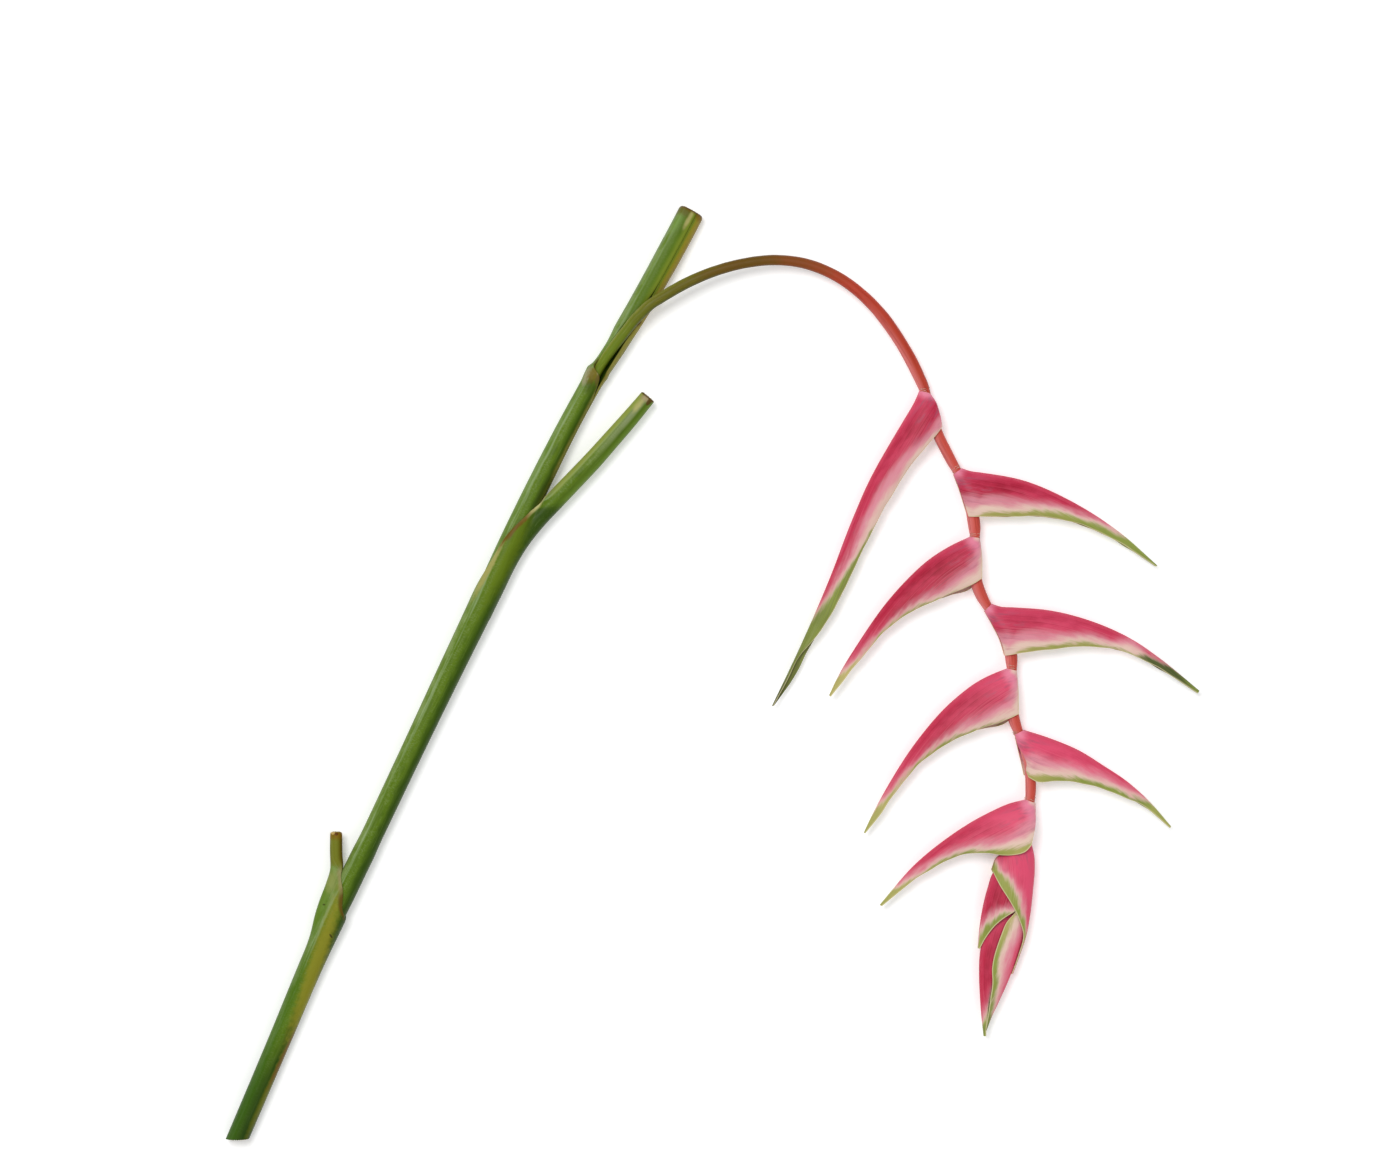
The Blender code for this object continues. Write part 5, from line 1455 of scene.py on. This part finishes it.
class HeliconiaStemSettings(bpy.types.PropertyGroup):
    green: FloatVectorProperty(
        name="Green", description="Main colour of the leaf bases", subtype="COLOR", size=3, min=0.0, max=1.0,
        default=(0.1, 0.178, 0.008))
    light_green: FloatVectorProperty(
        name="Light green", description="Streaks between the ribs", subtype="COLOR", size=3, min=0.0, max=1.0,
        default=(0.17, 0.25, 0.022))
    dark_green: FloatVectorProperty(
        name="Dark green", description="Mottling", subtype="COLOR", size=3, min=0.0, max=1.0,
        default=(0.058, 0.11, 0.004))
    rib_depth: FloatProperty(
        name="Rib depth", description="Height of the fine ribs along the stem, in millimetres", default=0.14,
        min=0.0, max=1.0)
    fibre_spacing: FloatProperty(
        name="Fibre spacing", description="Least distance between the bundles on a cut", default=0.00085,
        min=0.0002, max=0.01, subtype="DISTANCE", unit="LENGTH")
    fibre_size: FloatProperty(
        name="Fibre size", description="Radius of a bundle on a cut", default=0.0002, min=0.0, max=0.002,
        subtype="DISTANCE", unit="LENGTH")


class HeliconiaStalkSettings(bpy.types.PropertyGroup):
    sides: IntProperty(
        name="Sides", description="Sides of the flower stalk's section", default=40, min=8, max=96)
    step: FloatProperty(
        name="Step", description="Distance between its rings, in millimetres", default=1.4, min=0.3, max=10.0)
    unevenness: FloatProperty(
        name="Unevenness", description="How much its thickness wanders, as a share of it", default=0.10,
        min=0.0, max=0.5, subtype="FACTOR")
    threads: IntProperty(
        name="Threads", description="Torn threads at each open bract", default=9, min=0, max=60)
    thread: FloatProperty(
        name="Thread", description="Radius of a torn thread", default=0.00016, min=0.0, max=0.002,
        subtype="DISTANCE", unit="LENGTH")


class HeliconiaBractSettings(bpy.types.PropertyGroup):
    rows: IntProperty(name="Rows", description="Rows of faces along a bract", default=120, min=20, max=300)
    columns: IntProperty(
        name="Columns", description="Columns of faces round a bract, an even number", default=64, min=8,
        max=128)
    open_wall: FloatProperty(
        name="Open wall", description="Wall of an open bract, in millimetres", default=0.75, min=0.3, max=2.0)
    bud_wall: FloatProperty(
        name="Bud wall", description="Wall of a bract of the bud, in millimetres", default=0.65, min=0.3,
        max=2.0)


class HeliconiaStageSettings(bpy.types.PropertyGroup):
    camera: FloatVectorProperty(
        name="Camera", description="Where the camera hangs, looking straight down", subtype="XYZ", size=3,
        unit="LENGTH", default=(-0.0112, 0.0601, 2.401))
    lens: FloatProperty(
        name="Lens", description="Focal length of the camera", default=100.0, min=10.0, max=500.0,
        unit="CAMERA")
    key: FloatProperty(
        name="Key light", description="Power of the large soft light", default=47.0, min=0.0, max=1000.0,
        unit="POWER")
    sky: FloatProperty(
        name="Sky", description="Strength of the even light from all round", default=0.42, min=0.0, max=5.0)
    glow: FloatProperty(
        name="Glow", description="How much the light table shines from below", default=0.25, min=0.0, max=5.0)


class HELICONIA_OT_leaf_bases(bpy.types.Operator):
    """Make the three leaf bases, each a sheath rolled round the stem that ends in a cut petiole"""
    bl_idname = "heliconia.leaf_bases"
    bl_label = "Leaf bases"

    def execute(self, context):
        pieces = [branched_leaf(name, **row) for name, row in BRANCHED_LEAVES.items()]
        pieces.append(upper_leaf("upper_leaf_base"))
        skins = (lower_leaf_skin, middle_leaf_skin, upper_leaf_skin)
        for piece, skin, node in zip(pieces, skins, ("leaf_base_1", "leaf_base_2", "leaf_base_3")):
            piece.data.materials.append(skin())
            piece.data.materials.append(cut_tissue())
            put_in_place(piece, node)
        return {"FINISHED"}


class HELICONIA_OT_stalk(bpy.types.Operator):
    """Make the flower stalk, from the foot of the stem over its arch to the tip of the zigzag in the bud"""
    bl_idname = "heliconia.stalk"
    bl_label = "Flower stalk"

    def execute(self, context):
        sizes = context.scene.heliconia_stalk
        line, run = stalk_line(sizes.step)
        mesh = bpy.data.meshes.new("flower_stalk")
        mesh.from_pydata(line[:, :3] * MM, [(i, i + 1) for i in range(len(line) - 1)], [])
        add_attributes(mesh, {"size": line[:, 3] * MM})
        piece = grown("flower_stalk", mesh, stalk_tree(), {
            "Sides": sizes.sides, "Unevenness": sizes.unevenness, "Material": stalk_skin(),
        })
        points = np.zeros(len(piece.data.vertices) * 3)
        piece.data.vertices.foreach_get("co", points)
        rings = points.reshape(len(line), sizes.sides, 3) / MM
        slide_to_foot(rings[0])
        piece.data.vertices.foreach_set("co", (rings * MM).ravel())
        add_attributes(piece.data, {
            **grain_and_turn(rings, line[:, :3], tangents_of(line[:, :3]), run),
            "run": np.repeat(run, sizes.sides),
        })
        face_outward(piece.data)
        piece.data.shade_smooth()
        piece.data.materials.append(cut_tissue())
        for face in piece.data.polygons:
            if len(face.vertices) > 4:
                face.material_index = 1
        piece.data.set_sharp_from_angle(angle=THIN_CREASE)
        put_in_place(piece, "peduncle")
        return {"FINISHED"}


class HELICONIA_OT_cut_fibres(bpy.types.Operator):
    """Scatter the blunt ends of the cut bundles over every cut face of the stem"""
    bl_idname = "heliconia.cut_fibres"
    bl_label = "Cut fibres"

    def execute(self, context):
        cut = bmesh.new()
        for name in (*BRANCHED_LEAVES, "upper_leaf_base", "flower_stalk"):
            cut.from_mesh(bpy.data.objects[name].data)
            skin = [face for face in cut.faces if face.material_index == 0]
            bmesh.ops.delete(cut, geom=skin, context="FACES")
        for face in cut.faces:
            face.material_index = 0
        mesh = bpy.data.meshes.new("cut_fibres")
        cut.to_mesh(mesh)
        cut.free()
        sizes = context.scene.heliconia_stem
        piece = grown("cut_fibres", mesh, fibre_tree(), {
            "Spacing": sizes.fibre_spacing, "Size": sizes.fibre_size, "Seed": FIBRE_SEED,
            "Material": blotched("cut_fibres").done(),
        })
        put_in_place(piece, None)
        return {"FINISHED"}


class HELICONIA_OT_scar_threads(bpy.types.Operator):
    """Lay the torn threads and ring scars round the stalk where each open bract begins"""
    bl_idname = "heliconia.scar_threads"
    bl_label = "Scar threads"

    def execute(self, context):
        chance = np.random.default_rng(THREAD_SEED)
        line, _ = stalk_line(SCAR_STEP)
        ways = tangents_of(line[:, :3])
        points, edges = [], []
        for row in OPEN_BRACTS.values():
            base = (np.array(row["keel"][0]) + np.array(row["clasp"][0])) / 2
            at = np.linalg.norm(line[:, :2] - base, axis=1).argmin()
            for _ in range(context.scene.heliconia_stalk.threads):
                spot = at + int(chance.integers(-5, 6))
                (right,), (up,) = across_axes(ways[spot][None])
                first = chance.uniform(-1.5, 0.9)
                turns = first + np.linspace(0.0, chance.uniform(0.5, 1.5), THREAD_POINTS)
                slide = np.linspace(0.0, chance.uniform(-1.8, 1.8), THREAD_POINTS) * chance.uniform(0.2, 1.0)
                lift = 0.5 * chance.random() * np.sin(np.linspace(0.0, 3.1, THREAD_POINTS))
                reach = line[spot, 3] + 0.2 + lift
                ring = line[spot, :3] + ways[spot] * slide[:, None] \
                    + reach[:, None] * (np.sin(turns)[:, None] * right + np.cos(turns)[:, None] * up)
                edges += [(len(points) + k, len(points) + k + 1) for k in range(THREAD_POINTS - 1)]
                points += (ring * MM).tolist()
        mesh = bpy.data.meshes.new("scar_threads")
        mesh.from_pydata(points, edges, [])
        piece = grown("scar_threads", mesh, thread_tree(), {
            "Thickness": context.scene.heliconia_stalk.thread, "Wander": THREAD_WANDER, "Seed": WANDER_SEED,
            "Material": blotched("scar_threads").done(),
        })
        put_in_place(piece, None)
        return {"FINISHED"}


class HELICONIA_OT_open_bracts(bpy.types.Operator):
    """Make the seven open bracts, left and right in turn down the zigzag"""
    bl_idname = "heliconia.open_bracts"
    bl_label = "Open bracts"

    def execute(self, context):
        wall = context.scene.heliconia_bracts.open_wall
        for node, row in OPEN_BRACTS.items():
            shape = BUD_MOUTH_PROFILE if node == "bract_7" else OPEN_PROFILE
            profile = [(share, part * row["half_width"], *rest) for share, part, *rest in shape]
            bract("open_" + node, node, "open_bract", wall, row, profile, CLASP, row["heights"], OPEN_RIPPLE)
        return {"FINISHED"}


class HELICONIA_OT_bud(bpy.types.Operator):
    """Make the four closed bracts that wrap one another in the bud"""
    bl_idname = "heliconia.bud"
    bl_label = "Bud"

    def execute(self, context):
        wall = context.scene.heliconia_bracts.bud_wall
        for node, row in BUD_BRACTS.items():
            profile = [(*columns, 0.0) for columns in row["profile"]]
            share = row["clasp_share"]
            bract("bud_" + node, node, "bud_bract", wall, row, profile, share, BUD_HEIGHTS, BUD_RIPPLE)
        return {"FINISHED"}


class HELICONIA_OT_stage(bpy.types.Operator):
    """Make the table, the soft light and the camera above it"""
    bl_idname = "heliconia.stage"
    bl_label = "Stage"

    def execute(self, context):
        sizes = context.scene.heliconia_stage
        mesh = bpy.data.meshes.new("table")
        corners = ((-1, -1), (1, -1), (1, 1), (-1, 1))
        mesh.from_pydata([(x * TABLE_REACH, y * TABLE_REACH, TABLE_TOP) for x, y in corners], [], [(0, 1, 2, 3)])
        table = show_mesh("table", mesh)
        paper = blotched("table_paper")
        paper.set("Emission Color", (1.0, 1.0, 1.0, 1.0))
        paper.set("Emission Strength", sizes.glow)
        mesh.materials.append(paper.done())
        camera = bpy.data.cameras.new("camera")
        camera.lens = sizes.lens
        camera.sensor_width = 36.0
        camera.clip_end = 100.0
        above = bpy.data.objects.new("camera", camera)
        above.location = sizes.camera
        context.scene.collection.objects.link(above)
        context.scene.camera = above
        for name, (place, width, share) in LIGHTS.items():
            light = bpy.data.lights.new(name, "AREA")
            light.shape = "DISK"
            light.size = width
            light.energy = sizes.key * share
            lamp = bpy.data.objects.new(name, light)
            lamp.location = place
            lamp.rotation_euler = (Vector(LIT_SPOT) - Vector(place)).to_track_quat("-Z", "Y").to_euler()
            context.scene.collection.objects.link(lamp)
        world = bpy.data.worlds.new("studio")
        world.use_nodes = True
        background = world.node_tree.nodes["Background"]
        background.inputs["Color"].default_value = (1.0, 1.0, 1.0, 1.0)
        background.inputs["Strength"].default_value = sizes.sky
        context.scene.world = world
        context.scene.view_settings.view_transform = "Standard"
        return {"FINISHED"}


class HELICONIA_PT_panel(bpy.types.Panel):
    bl_idname = "HELICONIA_PT_panel"
    bl_label = "Hanging heliconia"
    bl_space_type = "VIEW_3D"
    bl_region_type = "UI"
    bl_category = "Heliconia"

    def draw(self, context):
        for operator in STEPS:
            self.layout.operator(operator.bl_idname)
        for name, group in SETTINGS.items():
            box = self.layout.box()
            for label in group.__annotations__:
                box.prop(getattr(context.scene, name), label)


STEPS = (
    HELICONIA_OT_leaf_bases, HELICONIA_OT_stalk, HELICONIA_OT_cut_fibres, HELICONIA_OT_open_bracts,
    HELICONIA_OT_bud, HELICONIA_OT_scar_threads, HELICONIA_OT_stage,
)
SETTINGS = {
    "heliconia_stem": HeliconiaStemSettings, "heliconia_stalk": HeliconiaStalkSettings,
    "heliconia_bracts": HeliconiaBractSettings, "heliconia_stage": HeliconiaStageSettings,
}


def register():
    for name, group in SETTINGS.items():
        bpy.utils.register_class(group)
        setattr(bpy.types.Scene, name, PointerProperty(type=group))
    for operator in STEPS:
        bpy.utils.register_class(operator)
    bpy.utils.register_class(HELICONIA_PT_panel)


def unregister():
    bpy.utils.unregister_class(HELICONIA_PT_panel)
    for operator in reversed(STEPS):
        bpy.utils.unregister_class(operator)
    for name, group in SETTINGS.items():
        delattr(bpy.types.Scene, name)
        bpy.utils.unregister_class(group)


def main():
    register()
    for operator in STEPS:
        group, action = operator.bl_idname.split(".")
        getattr(getattr(bpy.ops, group), action)()


if __name__ == "__main__":
    main()
